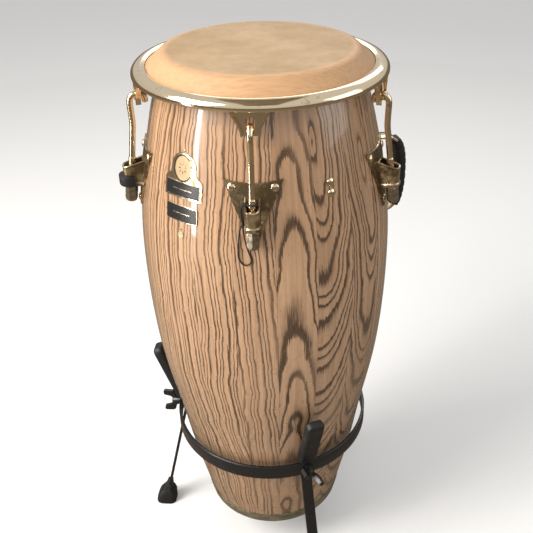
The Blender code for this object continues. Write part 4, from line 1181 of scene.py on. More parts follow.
class CONGA_OT_stage(bpy.types.Operator):
    """Adds the camera, the soft lights, the pale floor and the dark cards"""

    bl_idname = "conga.stage"
    bl_label = "Stage"

    def execute(self, context):
        stage = stage_settings()
        context.scene.view_settings.view_transform = "Standard"
        self.add_camera(context)
        self.add_world(context, stage)
        for name, power, size, place, target, colour in LIGHTS:
            lamp = self.add_light(name, getattr(stage, power), size, place, target)
            lamp.data.color = colour
        self.add_floor(stage)
        (inner, outer), (low, high) = DARK_RING, DARK_RING_HEIGHTS
        ring = ((inner, low), (outer, low), (outer, high), (inner, high))
        self.add_card("dark_floor_card", turned(ring, DARK_RING_SIDES), stage)
        radius, top = DARK_WALL
        wall = ((radius, 0.01), (radius + 0.02, 0.01), (radius + 0.02, top), (radius, top))
        self.add_card("dark_wall_card", turned(wall, DARK_RING_SIDES), stage)
        half, front, back = DARK_CEILING
        corners = ((-half, front), (half, front), (half, back), (-half, back))
        ceiling = loft([[(x, y, z) for x, y in corners] for z in DARK_CEILING_HEIGHTS])
        self.add_card("dark_ceiling_card", ceiling, stage)
        return {"FINISHED"}

    def add_camera(self, context):
        lens = bpy.data.cameras.new("camera")
        camera = bpy.data.objects.new("camera", lens)
        context.scene.collection.objects.link(camera)
        ahead = Vector((
            math.sin(CAMERA_YAW) * math.cos(CAMERA_PITCH),
            math.cos(CAMERA_YAW) * math.cos(CAMERA_PITCH),
            -math.sin(CAMERA_PITCH),
        ))
        level = Vector((math.cos(CAMERA_YAW), -math.sin(CAMERA_YAW), 0))
        above = level.cross(ahead)
        right = math.cos(CAMERA_ROLL) * level + math.sin(CAMERA_ROLL) * above
        up = math.cos(CAMERA_ROLL) * above - math.sin(CAMERA_ROLL) * level
        turn = Matrix((right, up, -ahead)).transposed().to_4x4()
        camera.matrix_world = Matrix.Translation(DRUM_PLACE @ Vector(CAMERA_PLACE)) @ turn
        lens.sensor_width = 36.0
        lens.lens = CAMERA_LENS
        lens.shift_x, lens.shift_y = CAMERA_SHIFT
        context.scene.camera = camera

    def add_world(self, context, stage):
        world = bpy.data.worlds.new("room")
        world.use_nodes = True
        tree = world.node_tree
        context.scene.world = world
        way = tree.nodes.new("ShaderNodeTexCoord")
        parts = tree.nodes.new("ShaderNodeSeparateXYZ")
        ramp = tree.nodes.new("ShaderNodeValToRGB")
        shift = tree.nodes.new("ShaderNodeMath")
        shift.operation = "MULTIPLY_ADD"
        shift.inputs[1].default_value = 0.5
        shift.inputs[2].default_value = 0.5
        tree.links.new(way.outputs["Generated"], parts.inputs[0])
        tree.links.new(parts.outputs["Z"], shift.inputs[0])
        tree.links.new(shift.outputs[0], ramp.inputs[0])
        for element, (position, colour) in zip(ramp.color_ramp.elements, SKY_STOPS):
            element.position = position
            element.color = (*colour, 1)
        background = tree.nodes["Background"]
        tree.links.new(ramp.outputs[0], background.inputs["Color"])
        background.inputs["Strength"].default_value = stage.sky

    def add_light(self, name, power, size, location, target):
        light = bpy.data.lights.new(name, "AREA")
        light.shape = "RECTANGLE"
        light.size, light.size_y = size
        light.energy = power
        lamp = bpy.data.objects.new(name, light)
        bpy.context.scene.collection.objects.link(lamp)
        lamp.location = location
        lamp.visible_camera = False
        aim = Vector(target) - Vector(location)
        lamp.rotation_euler = aim.to_track_quat("-Z", "Y").to_euler()
        return lamp

    def add_floor(self, stage):
        steps = FLOOR_STEPS
        spots = [FLOOR_HALF * (2 * n / steps - 1) for n in range(steps + 1)]
        vertices = [(x, y, 0) for y in spots for x in spots]
        faces = []
        for row in range(steps):
            for column in range(steps):
                low = row * (steps + 1) + column
                faces.append((low, low + 1, low + steps + 2, low + steps + 1))
        floor = bpy.data.objects.new("floor", mesh_from(vertices, faces))
        floor.data.materials.append(floor_finish(stage))
        bpy.context.scene.collection.objects.link(floor)

    def add_card(self, name, mesh, stage):
        """A dark card that only the shiny surfaces mirror."""
        mesh.materials.append(finish_named("dark_card", card_finish, "dark_card", stage.card))
        card = bpy.data.objects.new(name, mesh)
        bpy.context.scene.collection.objects.link(card)
        card.visible_camera = False
        card.visible_shadow = False
        card.visible_diffuse = False


# ---------------------------------------------------------------- cord

class CONGA_OT_cord(bpy.types.Operator):
    """Adds the black cord that hangs in a loop from the front rod"""

    bl_idname = "conga.cord"
    bl_label = "Hanging cord"

    def execute(self, context):
        knots = []
        for azimuth, height, out in CORD_POINTS:
            knots.append(DRUM_PLACE @ polar(shell_radius(height) + out, azimuth, height))
        points = self.thinned(smooth_line(knots, CORD_STEPS))
        curve = bpy.data.curves.new("cord", "CURVE")
        curve.dimensions = "3D"
        curve.bevel_depth = CORD_RADIUS
        curve.bevel_resolution = 3
        curve.use_fill_caps = True
        spline = curve.splines.new("POLY")
        spline.points.add(len(points) - 1)
        for knot, point in zip(spline.points, points):
            knot.co = (*point, 1)
        spline.use_smooth = True
        curve.materials.append(cord_material())
        cord = bpy.data.objects.new("loop_cord", curve)
        context.scene.collection.objects.link(cord)
        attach(cord, "drum")
        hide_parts("hang_cord")
        ring = moved(turned(circle((WRAP_RADIUS, WRAP_ALONG_ROD), CORD_RADIUS, 12), 48), rod_frame())
        wrap = put("cord_turn", ring, [cord_material()], "drum", ["cord_wrap"],
                   turn=LUG_AZIMUTHS[CORD_LUG - 1])
        length = sum((after - before).length for before, after in zip(points, points[1:]))
        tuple(points[0])
        return {"FINISHED"}

    def thinned(self, dense):
        points = [dense[0]]
        walked = 0.0
        for before, after in zip(dense, dense[1:]):
            walked += (after - before).length
            if walked >= CORD_SPACING:
                points.append(after)
                walked = 0.0
        points[-1] = dense[-1]
        return points


# ---------------------------------------------------------------- wood and hide

class CONGA_OT_shell(bpy.types.Operator):
    """Adds the lacquered ash shell"""

    bl_idname = "conga.shell"
    bl_label = "Stave shell"

    def execute(self, context):
        foot = shell_radius(0.0)
        outline = [(foot - FOOT_ROUNDING, 0.0), (foot - FOOT_ROUNDING * 0.3, FOOT_ROUNDING * 0.3)]
        height = FOOT_ROUNDING
        while height < BEARING_EDGE[0][1] - SHELL_LEVEL_STEP / 2:
            outline.append((shell_radius(height), height))
            height += SHELL_LEVEL_STEP
        outline += BEARING_EDGE
        height = SHELL_INSIDE_TOP
        while height > SHELL_LEVEL_STEP:
            outline.append((shell_radius(height) - SHELL_WALL, height))
            height -= 2 * SHELL_LEVEL_STEP
        outline.append((shell_radius(0.0) - SHELL_WALL, 0.0))
        put("stave_shell", turned(outline, SHELL_SIDES), [lacquered_ash(drum_looks())], "drum", ["shell"])
        return {"FINISHED"}


class CONGA_OT_foot_band(bpy.types.Operator):
    """Adds the dull band round the shell's foot"""

    bl_idname = "conga.foot_band"
    bl_label = "Foot band"

    def execute(self, context):
        levels = (0.0, 0.0012, 0.0060, 0.0120, 0.0180, BAND_HEIGHT - 0.0006, BAND_HEIGHT)
        rounding = (0.0006, 0.0, 0.0, 0.0, 0.0, 0.0002, 0.0008)
        inner = [(shell_radius(height) + GAP, height) for height in levels]
        outer = [
            (shell_radius(height) + GAP + BAND_THICKNESS - less, height)
            for height, less in zip(levels, rounding)
        ]
        put("foot_band", turned(outer + inner[::-1], SHELL_SIDES), [edge_band(drum_looks())], "drum",
            ["bottom_band"])
        return {"FINISHED"}


class CONGA_OT_hide(bpy.types.Operator):
    """Adds the rawhide head"""

    bl_idname = "conga.hide"
    bl_label = "Rawhide head"

    def execute(self, context):
        centre = Vector(HOOP_CENTRE)
        collar_length = (centre.x - COLLAR_TOP[0]) / math.cos(COLLAR_ANGLE) + 0.0040
        wrap = []
        for turn in WRAP_TURNS:
            wrap.append(Vector((math.cos(math.radians(turn)), math.sin(math.radians(turn)))))
        outline = [(0, DRUM_HEIGHT)]
        outline += [(FACE_RADIUS * share, DRUM_HEIGHT) for share in (0.2, 0.4, 0.6, 0.8, 0.95)]
        outline += HEAD_SHOULDER
        outline += [self.collar_point(collar_length * share) for share in (0, 0.06, 0.2, 0.4, 0.6, 0.8)]
        outline += [tuple(centre + HOOP_WRAP * way) for way in wrap]
        outline += [tuple(centre + (HOOP_WRAP - SKIN_THICKNESS) * way) for way in wrap[::-1]]
        outline += [self.collar_point(collar_length * share, SKIN_THICKNESS) for share in (0.8, 0.4, 0.0)]
        under = DRUM_HEIGHT - SKIN_THICKNESS
        outline += [(FACE_RADIUS, under), (FACE_RADIUS / 2, under), (0, under)]
        put("hide_head", turned(outline, HEAD_SIDES), [rawhide(drum_looks())], "tuned_head", ["skin"])
        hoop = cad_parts["flesh_hoop"]
        hoop.data.materials.clear()
        hoop.data.materials.append(worn_steel(drum_looks()))
        return {"FINISHED"}

    def collar_point(self, along, inward=0.0):
        down = Vector((math.cos(COLLAR_ANGLE), -math.sin(COLLAR_ANGLE)))
        normal = Vector((math.sin(COLLAR_ANGLE), math.cos(COLLAR_ANGLE)))
        return tuple(Vector(COLLAR_TOP) + down * along - normal * inward)


# ---------------------------------------------------------------- rim

class CONGA_OT_rim(bpy.types.Operator):
    """Adds the polished rim with its five slotted ears"""

    bl_idname = "conga.rim"
    bl_label = "Tuning rim"

    def execute(self, context):
        outline = [tuple(point) for point in smooth_line(RIM_OUTLINE, 4, closed=True)]
        ears = [self.ear(azimuth) for azimuth in LUG_AZIMUTHS]
        slots = [self.slot_cutter(azimuth) for azimuth in LUG_AZIMUTHS]
        mesh = combined(turned(outline, RIM_SIDES), joined=ears, cut=slots)
        rim = put("tuning_rim", mesh, [polished()], "tuned_head", ["rim"])
        bevelled(rim, 0.0004)
        return {"FINISHED"}

    def ear(self, azimuth):
        """A flanged ear that hangs from the rim, wide at the top."""
        inner, outer = EAR_PLATE
        rings = []
        for height, half_width in smooth_line(EAR_LEVELS, 3):
            right = [
                (half_width, inner), (half_width, EAR_FLANGE_EDGE),
                (half_width - EAR_FLANGE, EAR_FLANGE_EDGE), (half_width - EAR_FLANGE, outer),
            ]
            right += [((half_width - EAR_FLANGE) * share, outer) for share in (0.6, 0.2)]
            line = right + [(-across, radius) for across, radius in right[::-1]]
            line += [(across * half_width, inner) for across in (-0.6, -0.2, 0.2, 0.6)]
            rings.append([
                polar(radius, azimuth + math.degrees(across / inner), height) for across, radius in line
            ])
        return loft(rings)

    def slot_cutter(self, azimuth):
        """An arched slot through an ear, for the rod's hook."""
        half = EAR_SLOT_WIDTH / 2
        straight = EAR_SLOT_HALF_HEIGHT - half
        outline = []
        for end, lift in ((0, straight), (180, -straight)):
            for step in range(9):
                angle = math.radians(end + 180 * step / 8)
                height = EAR_SLOT_CENTRE + lift + half * math.sin(angle)
                outline.append((half * math.cos(angle), height))
        rings = []
        for radius in EAR_SLOT_REACH:
            rings.append([(across, -radius, height) for across, height in outline])
        return moved(loft(rings), Matrix.Rotation(math.radians(azimuth), 4, "Z"))


# ---------------------------------------------------------------- tension lugs

def rod_frame():
    """The rod's axis: origin under the shelf, Z up along the rod."""
    return Matrix.Translation((0, -SHELF_RADIUS, SHELF_HEIGHT)) @ Matrix.Rotation(-ROD_TILT, 4, "X")


def shelf_height(radius):
    """Height of the shelf's underside, which is square to the leaning rod."""
    return SHELF_HEIGHT + (radius - SHELF_RADIUS) * math.tan(ROD_TILT)


def pocket_top(radius):
    return POCKET_TOP_AT_PLATE + (radius - shell_radius(POCKET_TOP_AT_PLATE)) * POCKET_TOP_SLOPE


def pocket_plan(root_height, root_offset, widening):
    """The pocket's rounded plan as (across, radius), rooted in the plate at this height."""
    half = [(POCKET_ROOT_HALF, shell_radius(root_height) + root_offset), *POCKET_HALF_PLAN]
    plan = half + [(-across, radius) for across, radius in half[::-1]]
    return [tuple(point) for point in smooth_line(spread(plan, widening), 4)]


def pocket_ring(root_height, root_offset, widening, height_at):
    plan = pocket_plan(root_height, root_offset, widening)
    return [(across, -radius, height_at(radius)) for across, radius in plan]


def bore_cutter():
    outline = ((0, -0.030), (BORE_RADIUS, -0.030), (BORE_RADIUS, 0.010), (0, 0.010))
    return turned(outline, 24)


class CONGA_OT_side_plates(bpy.types.Operator):
    """Adds the five triangular plates with their pockets"""

    bl_idname = "conga.side_plates"
    bl_label = "Side plates"

    def execute(self, context):
        plate = patch(0, self.plate_rows(), GAP, GAP + PLATE_THICKNESS, columns=16, dip=PLATE_DIP)
        body = combined(plate, joined=[self.pocket()],
                        cut=[self.hollow(), moved(bore_cutter(), rod_frame())])
        mesh = gathered([body, self.mouth_bead()])
        for number, azimuth in enumerate(LUG_AZIMUTHS, 1):
            piece = put(f"lug_plate_{number}", mesh, [aged()], "drum", [f"side_plate_{number}"],
                        turn=azimuth)
            bevelled(piece, 0.00035)
        return {"FINISHED"}

    def plate_rows(self):
        rows = []
        levels = 20
        for level in range(levels + 1):
            share = level / levels
            height = PLATE_TIP + (PLATE_TOP - PLATE_TIP) * share
            widening = (PLATE_HALF_WIDTH - PLATE_TIP_HALF_WIDTH) * share ** PLATE_FLARE
            rows.append((height, PLATE_TIP_HALF_WIDTH + widening))
        return rows

    def pocket(self):
        """The solid pocket: a flared lip at its foot, then straight walls to its sloping top."""
        profile = (
            (0.0, LIP_FLARE * 0.75), (LIP_FLARE * 0.4, LIP_FLARE), (LIP_HEIGHT, LIP_FLARE),
            (LIP_HEIGHT + LIP_FLARE * 0.6, LIP_FLARE * 0.6), (LIP_HEIGHT + LIP_FLARE * 1.3, 0.0),
        )
        rings = []
        for rise, widening in profile:

            def height_at(radius, rise=rise):
                return shelf_height(radius) + rise

            rings.append(pocket_ring(SHELF_HEIGHT + rise, POCKET_ROOT_OVERLAP, widening, height_at))
        rings.append(pocket_ring(POCKET_TOP_AT_PLATE, POCKET_ROOT_OVERLAP, 0.0, pocket_top))
        return loft(rings)

    def hollow(self):
        """The space inside the pocket, open at its top."""
        root = PLATE_THICKNESS + 2 * GAP

        def floor_at(radius):
            return shelf_height(radius) + SHELF_THICKNESS

        def over_top(radius):
            return pocket_top(radius) + POCKET_OPEN_TOP

        return loft([
            pocket_ring(SHELF_HEIGHT, root, -POCKET_WALL, floor_at),
            pocket_ring(POCKET_TOP_AT_PLATE, root, -POCKET_WALL, over_top),
        ])

    def mouth_bead(self):
        """The rolled edge along the pocket's mouth."""
        plan = pocket_plan(POCKET_TOP_AT_PLATE, PLATE_THICKNESS, -POCKET_WALL / 2)
        points = [Vector((across, -radius, pocket_top(radius))) for across, radius in plan]
        return tube(points, MOUTH_BEAD + POCKET_WALL / 4)


def screw(azimuth, height, seat):
    """A domed screw with a small collar under its head, and its shank inside."""
    inside = BACKING_OFFSET - BACKING_THICKNESS / 2
    outline = [(0, inside), (BOLT_SHANK, inside), (BOLT_SHANK, seat)]
    outline += [(BOLT_HEAD_RADIUS, seat), (BOLT_HEAD_RADIUS, seat + BOLT_HEAD_HEIGHT * 0.12)]
    for step in range(8):
        angle = math.pi / 2 * step / 8
        dome = BOLT_HEAD_HEIGHT * (0.12 + 0.88 * math.sin(angle))
        outline.append((BOLT_HEAD_RADIUS * 0.92 * math.cos(angle), seat + dome))
    outline.append((0, seat + BOLT_HEAD_HEIGHT))
    return moved(turned(outline, 28), on_shell(azimuth, height))


class CONGA_OT_screws(bpy.types.Operator):
    """Adds the domed screws of the plates, the handle and the spare pair"""

    bl_idname = "conga.screws"
    bl_label = "Domed screws"

    def execute(self, context):
        side = math.degrees(PLATE_BOLT_SIDE / shell_radius(PLATE_BOLT_TOP))
        spots = ((-side, PLATE_BOLT_TOP), (side, PLATE_BOLT_TOP), (0, PLATE_BOLT_BOTTOM))
        mesh = self.group(spots, LUG_BACKING_ROWS, PLATE_THICKNESS + 2 * GAP)
        for number, azimuth in enumerate(LUG_AZIMUTHS, 1):
            put(f"plate_screws_{number}", mesh, [polished()], "drum", [f"plate_bolts_{number}"],
                turn=azimuth)
        spots = [(0, height) for height in SPARE_BOLT_HEIGHTS]
        put("spare_screws", self.group(spots, SPARE_BACKING_ROWS, GAP), [polished()], "drum",
            ["spare_bolts"], turn=SPARE_BOLT_AZIMUTH)
        spots = [(0, height) for height in HANDLE_BOLT_HEIGHTS]
        put("handle_screws", self.group(spots, HANDLE_BACKING_ROWS, HANDLE_THICKNESS + 2 * GAP),
            [polished()], "drum", ["handle_bolts"], turn=HANDLE_AZIMUTH)
        return {"FINISHED"}

    def group(self, spots, backing_rows, seat):
        backing = patch(0, backing_rows, BACKING_OFFSET - BACKING_THICKNESS, BACKING_OFFSET, columns=8)
        return gathered([backing] + [screw(turn, height, seat) for turn, height in spots])


class CONGA_OT_rods(bpy.types.Operator):
    """Adds the five hooked tension rods"""

    bl_idname = "conga.rods"
    bl_label = "Tension rods"

    def execute(self, context):
        start, end = SLEEVE_SPAN
        marks = [
            (-THREAD_BELOW_SHELF, ROD_RADIUS * 0.8), (ROD_SHOULDER - THREAD_BELOW_SHELF, ROD_RADIUS),
            (start, ROD_RADIUS), (start + ROD_SHOULDER, SLEEVE_RADIUS),
            (end - ROD_SHOULDER, SLEEVE_RADIUS), (end, SLEEVE_RADIUS * 0.96),
            (end + ROD_SHOULDER, ROD_RADIUS * 1.04), (end + 3 * ROD_SHOULDER, ROD_RADIUS),
            (ROD_STRAIGHT, ROD_RADIUS),
        ]
        path, radii = [], []
        for along, radius in marks:
            path.append((SHELF_RADIUS - along * math.sin(ROD_TILT),
                         SHELF_HEIGHT + along * math.cos(ROD_TILT)))
            radii.append(radius)
        bend = smooth_line([path[-1], *ROD_BEND], 4)[1:]
        path += [tuple(point) for point in bend]
        radii += [ROD_RADIUS] * (len(bend) - 2) + [ROD_RADIUS * 0.92, ROD_RADIUS * 0.62]
        mesh = round_bar(path, radii, ROD_SIDES)
        for number, azimuth in enumerate(LUG_AZIMUTHS, 1):
            put(f"hooked_rod_{number}", mesh, [polished()], f"tension_rod_{number}", [f"rod_{number}"],
                turn=azimuth)
        return {"FINISHED"}


class CONGA_OT_nuts(bpy.types.Operator):
    """Adds the five long hexagon nuts and their washers"""

    bl_idname = "conga.nuts"
    bl_label = "Tension nuts"

    def execute(self, context):
        steel = finish_named("worn_steel", worn_steel, drum_looks())
        nut = moved(self.nut(), rod_frame())
        washer = moved(self.washer(), rod_frame())
        for number, azimuth in enumerate(LUG_AZIMUTHS, 1):
            put(f"hex_nut_{number}", nut, [steel], f"tension_nut_{number}", [f"nut_{number}"],
                turn=azimuth)
            put(f"flat_washer_{number}", washer, [polished()], "drum", [f"washer_{number}"],
                turn=azimuth)
        return {"FINISHED"}

    def washer(self):
        top, bottom, edge = -GAP, -GAP - WASHER_THICKNESS, 0.0003
        return turned((
            (BORE_RADIUS, top), (WASHER_RADIUS - edge, top), (WASHER_RADIUS, top - edge),
            (WASHER_RADIUS, bottom + edge), (WASHER_RADIUS - edge, bottom), (BORE_RADIUS, bottom),
        ), 40)

    def nut(self):
        """Six flats whose ends are turned down to a rounded chamfer."""
        top = -WASHER_THICKNESS - 2 * GAP
        half = NUT_FLATS / 2
        corner = half / math.cos(math.pi / 6)
        levels = [
            (0.0, half * 1.02), (0.0010, corner * 0.985), (0.0016, corner), (NUT_HEXAGON_END, corner),
        ]
        for step in range(1, 7):
            angle = math.pi / 2 * step / 6
            narrowed = corner * (0.58 + 0.42 * math.cos(angle))
            levels.append((NUT_HEXAGON_END + NUT_NOSE * math.sin(angle), narrowed))
        levels[-1] = (NUT_LENGTH, levels[-1][1])
        turns = [360 * side / NUT_SIDES for side in range(NUT_SIDES)]
        rings = []
        for down, limit in levels:
            ring = []
            for turn in turns:
                flat = half / math.cos(math.radians((turn % 60) - 30))
                ring.append(polar(min(flat, limit), turn, top - down))
            rings.append(ring)
        for down in (NUT_LENGTH, 0.0):
            rings.append([polar(BORE_RADIUS, turn, top - down) for turn in turns])
        return loft(rings, closed=True)


class CONGA_OT_bumper(bpy.types.Operator):
    """Adds the rubber bumper round the left lug's pocket"""

    bl_idname = "conga.bumper"
    bl_label = "Rubber bumper"

    def execute(self, context):
        clear = GAP + 0.0001
        half = [(POCKET_HALF_PLAN[0][0] + clear, BUMPER_ENDS), *POCKET_HALF_PLAN]
        plan = half + [(-across, radius) for across, radius in half[::-1]]
        plan = [tuple(point) for point in smooth_line(plan, 4)]
        front = max(radius for _, radius in plan)
        lip = LIP_FLARE + clear
        top = BUMPER_HEIGHT
        section = (
            (0.0, lip, 0), (0.0, lip, 0.6), (0.0006, 0, 0.93), (0.0016, 0, 1), (top - 0.0016, 0, 1),
            (top - 0.0006, 0, 0.93), (top, 0, 0.75), (top, clear, 0),
            (LIP_HEIGHT + LIP_FLARE + 2 * clear, clear, 0), (LIP_HEIGHT + clear, lip, 0),
        )
        rings = [[] for _ in plan]
        for rise, distance, share in section:
            for index, (_, radius) in enumerate(plan):
                forward = (radius - BUMPER_ENDS) / (front - BUMPER_ENDS)
                thickness = BUMPER_SIDE + (BUMPER_THICKNESS - BUMPER_SIDE) * forward
                x, out = spread(plan, distance + share * thickness)[index]
                rings[index].append((x, -out, shelf_height(radius) + rise))
        put("pocket_bumper", loft(rings), [rubber()], "drum", ["rubber_bumper"],
            turn=LUG_AZIMUTHS[BUMPER_LUG - 1])
        return {"FINISHED"}


# ---------------------------------------------------------------- handle

class CONGA_OT_handle(bpy.types.Operator):
    """Adds the carrying handle: a gold strap with a rubber grip"""

    bl_idname = "conga.handle"
    bl_label = "Carrying handle"

    def execute(self, context):
        seat = GAP + HANDLE_THICKNESS / 2
        upper, lower = HANDLE_FLANGES
        path = [(shell_radius(height) + seat, height) for height in (upper[0], sum(upper) / 2, upper[1])]
        path += HANDLE_BOW
        path += [(shell_radius(height) + seat, height) for height in (lower[0], sum(lower) / 2, lower[1])]
        band = strap(smooth_line(path, 3), HANDLE_THICKNESS / 2, HANDLE_WIDTH / 2, STRIP_EDGE)
        put("handle_strap", band, [polished()], "drum", ["handle"], turn=HANDLE_AZIMUTH)
        put("rubber_grip", self.grip(), [rubber()], "drum", ["handle_grip"],
            turn=HANDLE_AZIMUTH)
        return {"FINISHED"}

    def grip(self):
        """The grip's round-cornered sleeve, with shallow ribs across it."""
        path = smooth_line(HANDLE_BOW[2:9], 8)
        rings = []
        last = len(path) - 1
        for index, (point, along) in enumerate(zip(path, directions(path))):
            from_end = min(index, last - index)
            share = (0.80, 0.94, 1.0)[min(from_end, 2)]
            rib = 0.0005 if from_end > 3 and index % 4 == 0 else 0.0

            def spot(x, out, point=point, along=along):
                return (x, -(point.x - along.y * out), point.y + along.x * out)

            halves = (GRIP_HALF_WIDTH * share - rib, GRIP_HALF_DEPTH * share - rib)
            rings.append(rounded_ring(*halves, GRIP_CORNER * share, spot))
        return loft(rings)


# ---------------------------------------------------------------- badges

class CONGA_OT_badges(bpy.types.Operator):
    """Adds the two plain badges, their pins and the green disc"""

    bl_idname = "conga.badges"
    bl_label = "Badges"

    def execute(self, context):
        gold = finish_named("badge_gold", plated_gold, "badge_gold", drum_looks(), 0.4, 0.0, 0.16)
        field = badge_field(drum_looks())
        face = medallion_face(drum_looks())
        green = green_enamel(drum_looks())
        top = GAP + BADGE_THICKNESS
        right = list(BADGE_OUTLINE)
        outline = right + [(-x, z) for x, z in right[-2::-1]]
        bottom = outline[-1]
        outline += [(bottom[0] + (right[0][0] - bottom[0]) * n / 12, bottom[1]) for n in range(1, 12)]
        layers = ((0.0, top - 0.0002, 0), (0.0002, top, 0))
        plate = relief(BADGE_AZIMUTH, BADGE_MIDDLE, outline, layers, 0)
        put("badge_plate", plate, [gold], "drum", ["badge_upper"])
        oval = oval_outline(*MEDALLION_HALF)
        rise = top + MEDALLION_RISE
        layers = (
            (0.0, rise - 0.0003, 0), (0.0004, rise, 0), (0.0010, rise, 0), (0.0013, rise - 0.0004, 1),
            (0.0021, rise - 0.0004, 1), (0.0024, rise, 0), (0.0029, rise, 0), (0.0032, rise - 0.0003, 2),
        )
        medallion = relief(BADGE_AZIMUTH, MEDALLION_MIDDLE, oval, layers, 2)
        put("badge_medallion", medallion, [gold, field, face], "drum", [])
        self.emblem(gold, rise)
        for name, middle, half, nodes in (
            ("badge_panel", PANEL_MIDDLE, PANEL_HALF, []),
            ("name_panel", NAMEPLATE_MIDDLE, NAMEPLATE_HALF, ["badge_lower"]),
        ):
            layers = (
                (0.0, top + 0.0002, 0), (0.0003, top + 0.0005, 0), (0.0010, top + 0.0005, 0),
                (0.0012, top + 0.0002, 1),
            )
            panel = relief(BADGE_AZIMUTH, middle, rounded_outline(*half, 0.0022), layers, 1)
            put(name, panel, [gold, field], "drum", nodes)
            rule = rounded_outline(half[0] * 0.55, 0.0006, 0.0005)
            layers = ((0.0, top + 0.0003, 0), (0.0001, top + 0.0004, 0))
            line = relief(BADGE_AZIMUTH, middle, rule, layers, 0)
            put(f"{name}_rule", line, [gold], "drum", [])
        outline = ((0, 0), (DISC_RADIUS, 0), (DISC_RADIUS, 0.0007), (DISC_RADIUS - 0.0004, BADGE_THICKNESS),
                   (DISC_RADIUS * 0.6, BADGE_THICKNESS), (DISC_RADIUS * 0.5, BADGE_THICKNESS - 0.0003),
                   (0, BADGE_THICKNESS - 0.0003))
        disc = moved(turned(outline, 40), on_shell(BADGE_AZIMUTH, DISC_HEIGHT, GAP))
        put("green_disc", disc, [green], "drum", ["round_disc"])
        self.pins(gold)
        return {"FINISHED"}

    def emblem(self, gold, rise):
        """A plain ring of eight short rays inside the oval."""
        rays = []
        for step in range(RAY_COUNT):
            angle = 2 * math.pi * step / RAY_COUNT
            way = Vector((math.cos(angle), math.sin(angle)))
            side = Vector((-way.y, way.x))
            start = way * RAY_REACH[0]
            outline = [start - side * RAY_HALF_WIDTH, way * RAY_REACH[1], start + side * RAY_HALF_WIDTH]
            rays.append(loft([
                laid_on_shell(BADGE_AZIMUTH, MEDALLION_MIDDLE, outline, offset)
                for offset in (rise - 0.0004, rise)
            ]))
        put("medallion_rays", gathered(rays), [gold], "drum", [])

    def pins(self, gold):
        """Small round-headed pins beside the badges."""
        spots = []
        for middle, half in ((PANEL_MIDDLE, BADGE_OUTLINE[0][0]), (NAMEPLATE_MIDDLE, NAMEPLATE_HALF[0])):
            turn = math.degrees((half + PIN_CLEARANCE) / shell_radius(middle))
            spots += [(BADGE_AZIMUTH - turn, middle), (BADGE_AZIMUTH + turn, middle)]
        spots.append((BADGE_AZIMUTH, BADGE_MIDDLE + TOP_PIN_RISE))
        spots.append((BADGE_AZIMUTH, DISC_HEIGHT + DISC_RADIUS + DISC_PIN_RISE))
        outline = ((0, 0), (PIN_RADIUS, 0), (PIN_RADIUS, 0.0004), (PIN_RADIUS * 0.7, 0.0009), (0, 0.0011))
        heads = [moved(turned(outline, 16), on_shell(*spot, GAP)) for spot in spots]
        put("badge_pins", gathered(heads), [gold], "drum", [])


# ---------------------------------------------------------------- stand

def bar_path():
    """From the foot up past the hoop and out along the arm."""
    splay = (BAR_LOWER_BEND - BAR_FOOT_HEIGHT) * math.tan(LEG_SPLAY)
    arm_end = BAR_UPPER_BEND + ARM_LENGTH * math.cos(ARM_LEAN)
    return (
        (BAR_RADIUS + splay, BAR_FOOT_HEIGHT), (BAR_RADIUS, BAR_LOWER_BEND),
        (BAR_RADIUS, BAR_UPPER_BEND), (BAR_RADIUS + ARM_LENGTH * math.sin(ARM_LEAN), arm_end),
    )


def softened_bends(path, reach):
    """The path with each inner corner rounded over this distance on both sides."""
    points = [path[0]]
    for before, corner, after in zip(path, path[1:], path[2:]):
        corner = Vector(corner)
        start = corner + (Vector(before) - corner).normalized() * reach
        end = corner + (Vector(after) - corner).normalized() * reach
        for step in range(5):
            t = step / 4
            points.append(tuple(start * (1 - t) ** 2 + corner * 2 * t * (1 - t) + end * t ** 2))
    points.append(path[-1])
    return points


class CONGA_OT_stand_ring(bpy.types.Operator):
    """Adds the stand's flat ring"""

    bl_idname = "conga.stand_ring"
    bl_label = "Stand ring"

    def execute(self, context):
        edge = RING_EDGE
        inner, outer = STAND_HOOP_INNER, STAND_HOOP_OUTER
        low, high = STAND_HOOP_BOTTOM, STAND_HOOP_TOP
        outline = []
        for radius, height, turn in (
            (inner, low, 180), (outer, low, 270), (outer, high, 0), (inner, high, 90),
        ):
            centre = (radius + (edge if radius == inner else -edge),
                      height + (edge if height == low else -edge))
            for step in range(4):
                angle = math.radians(turn + 90 * step / 3)
                outline.append((centre[0] + edge * math.cos(angle), centre[1] + edge * math.sin(angle)))
        put("cradle_ring", turned(outline, STAND_HOOP_SIDES), [paint()], "stand", ["stand_ring"],
            STAND_PLACE)
        return {"FINISHED"}


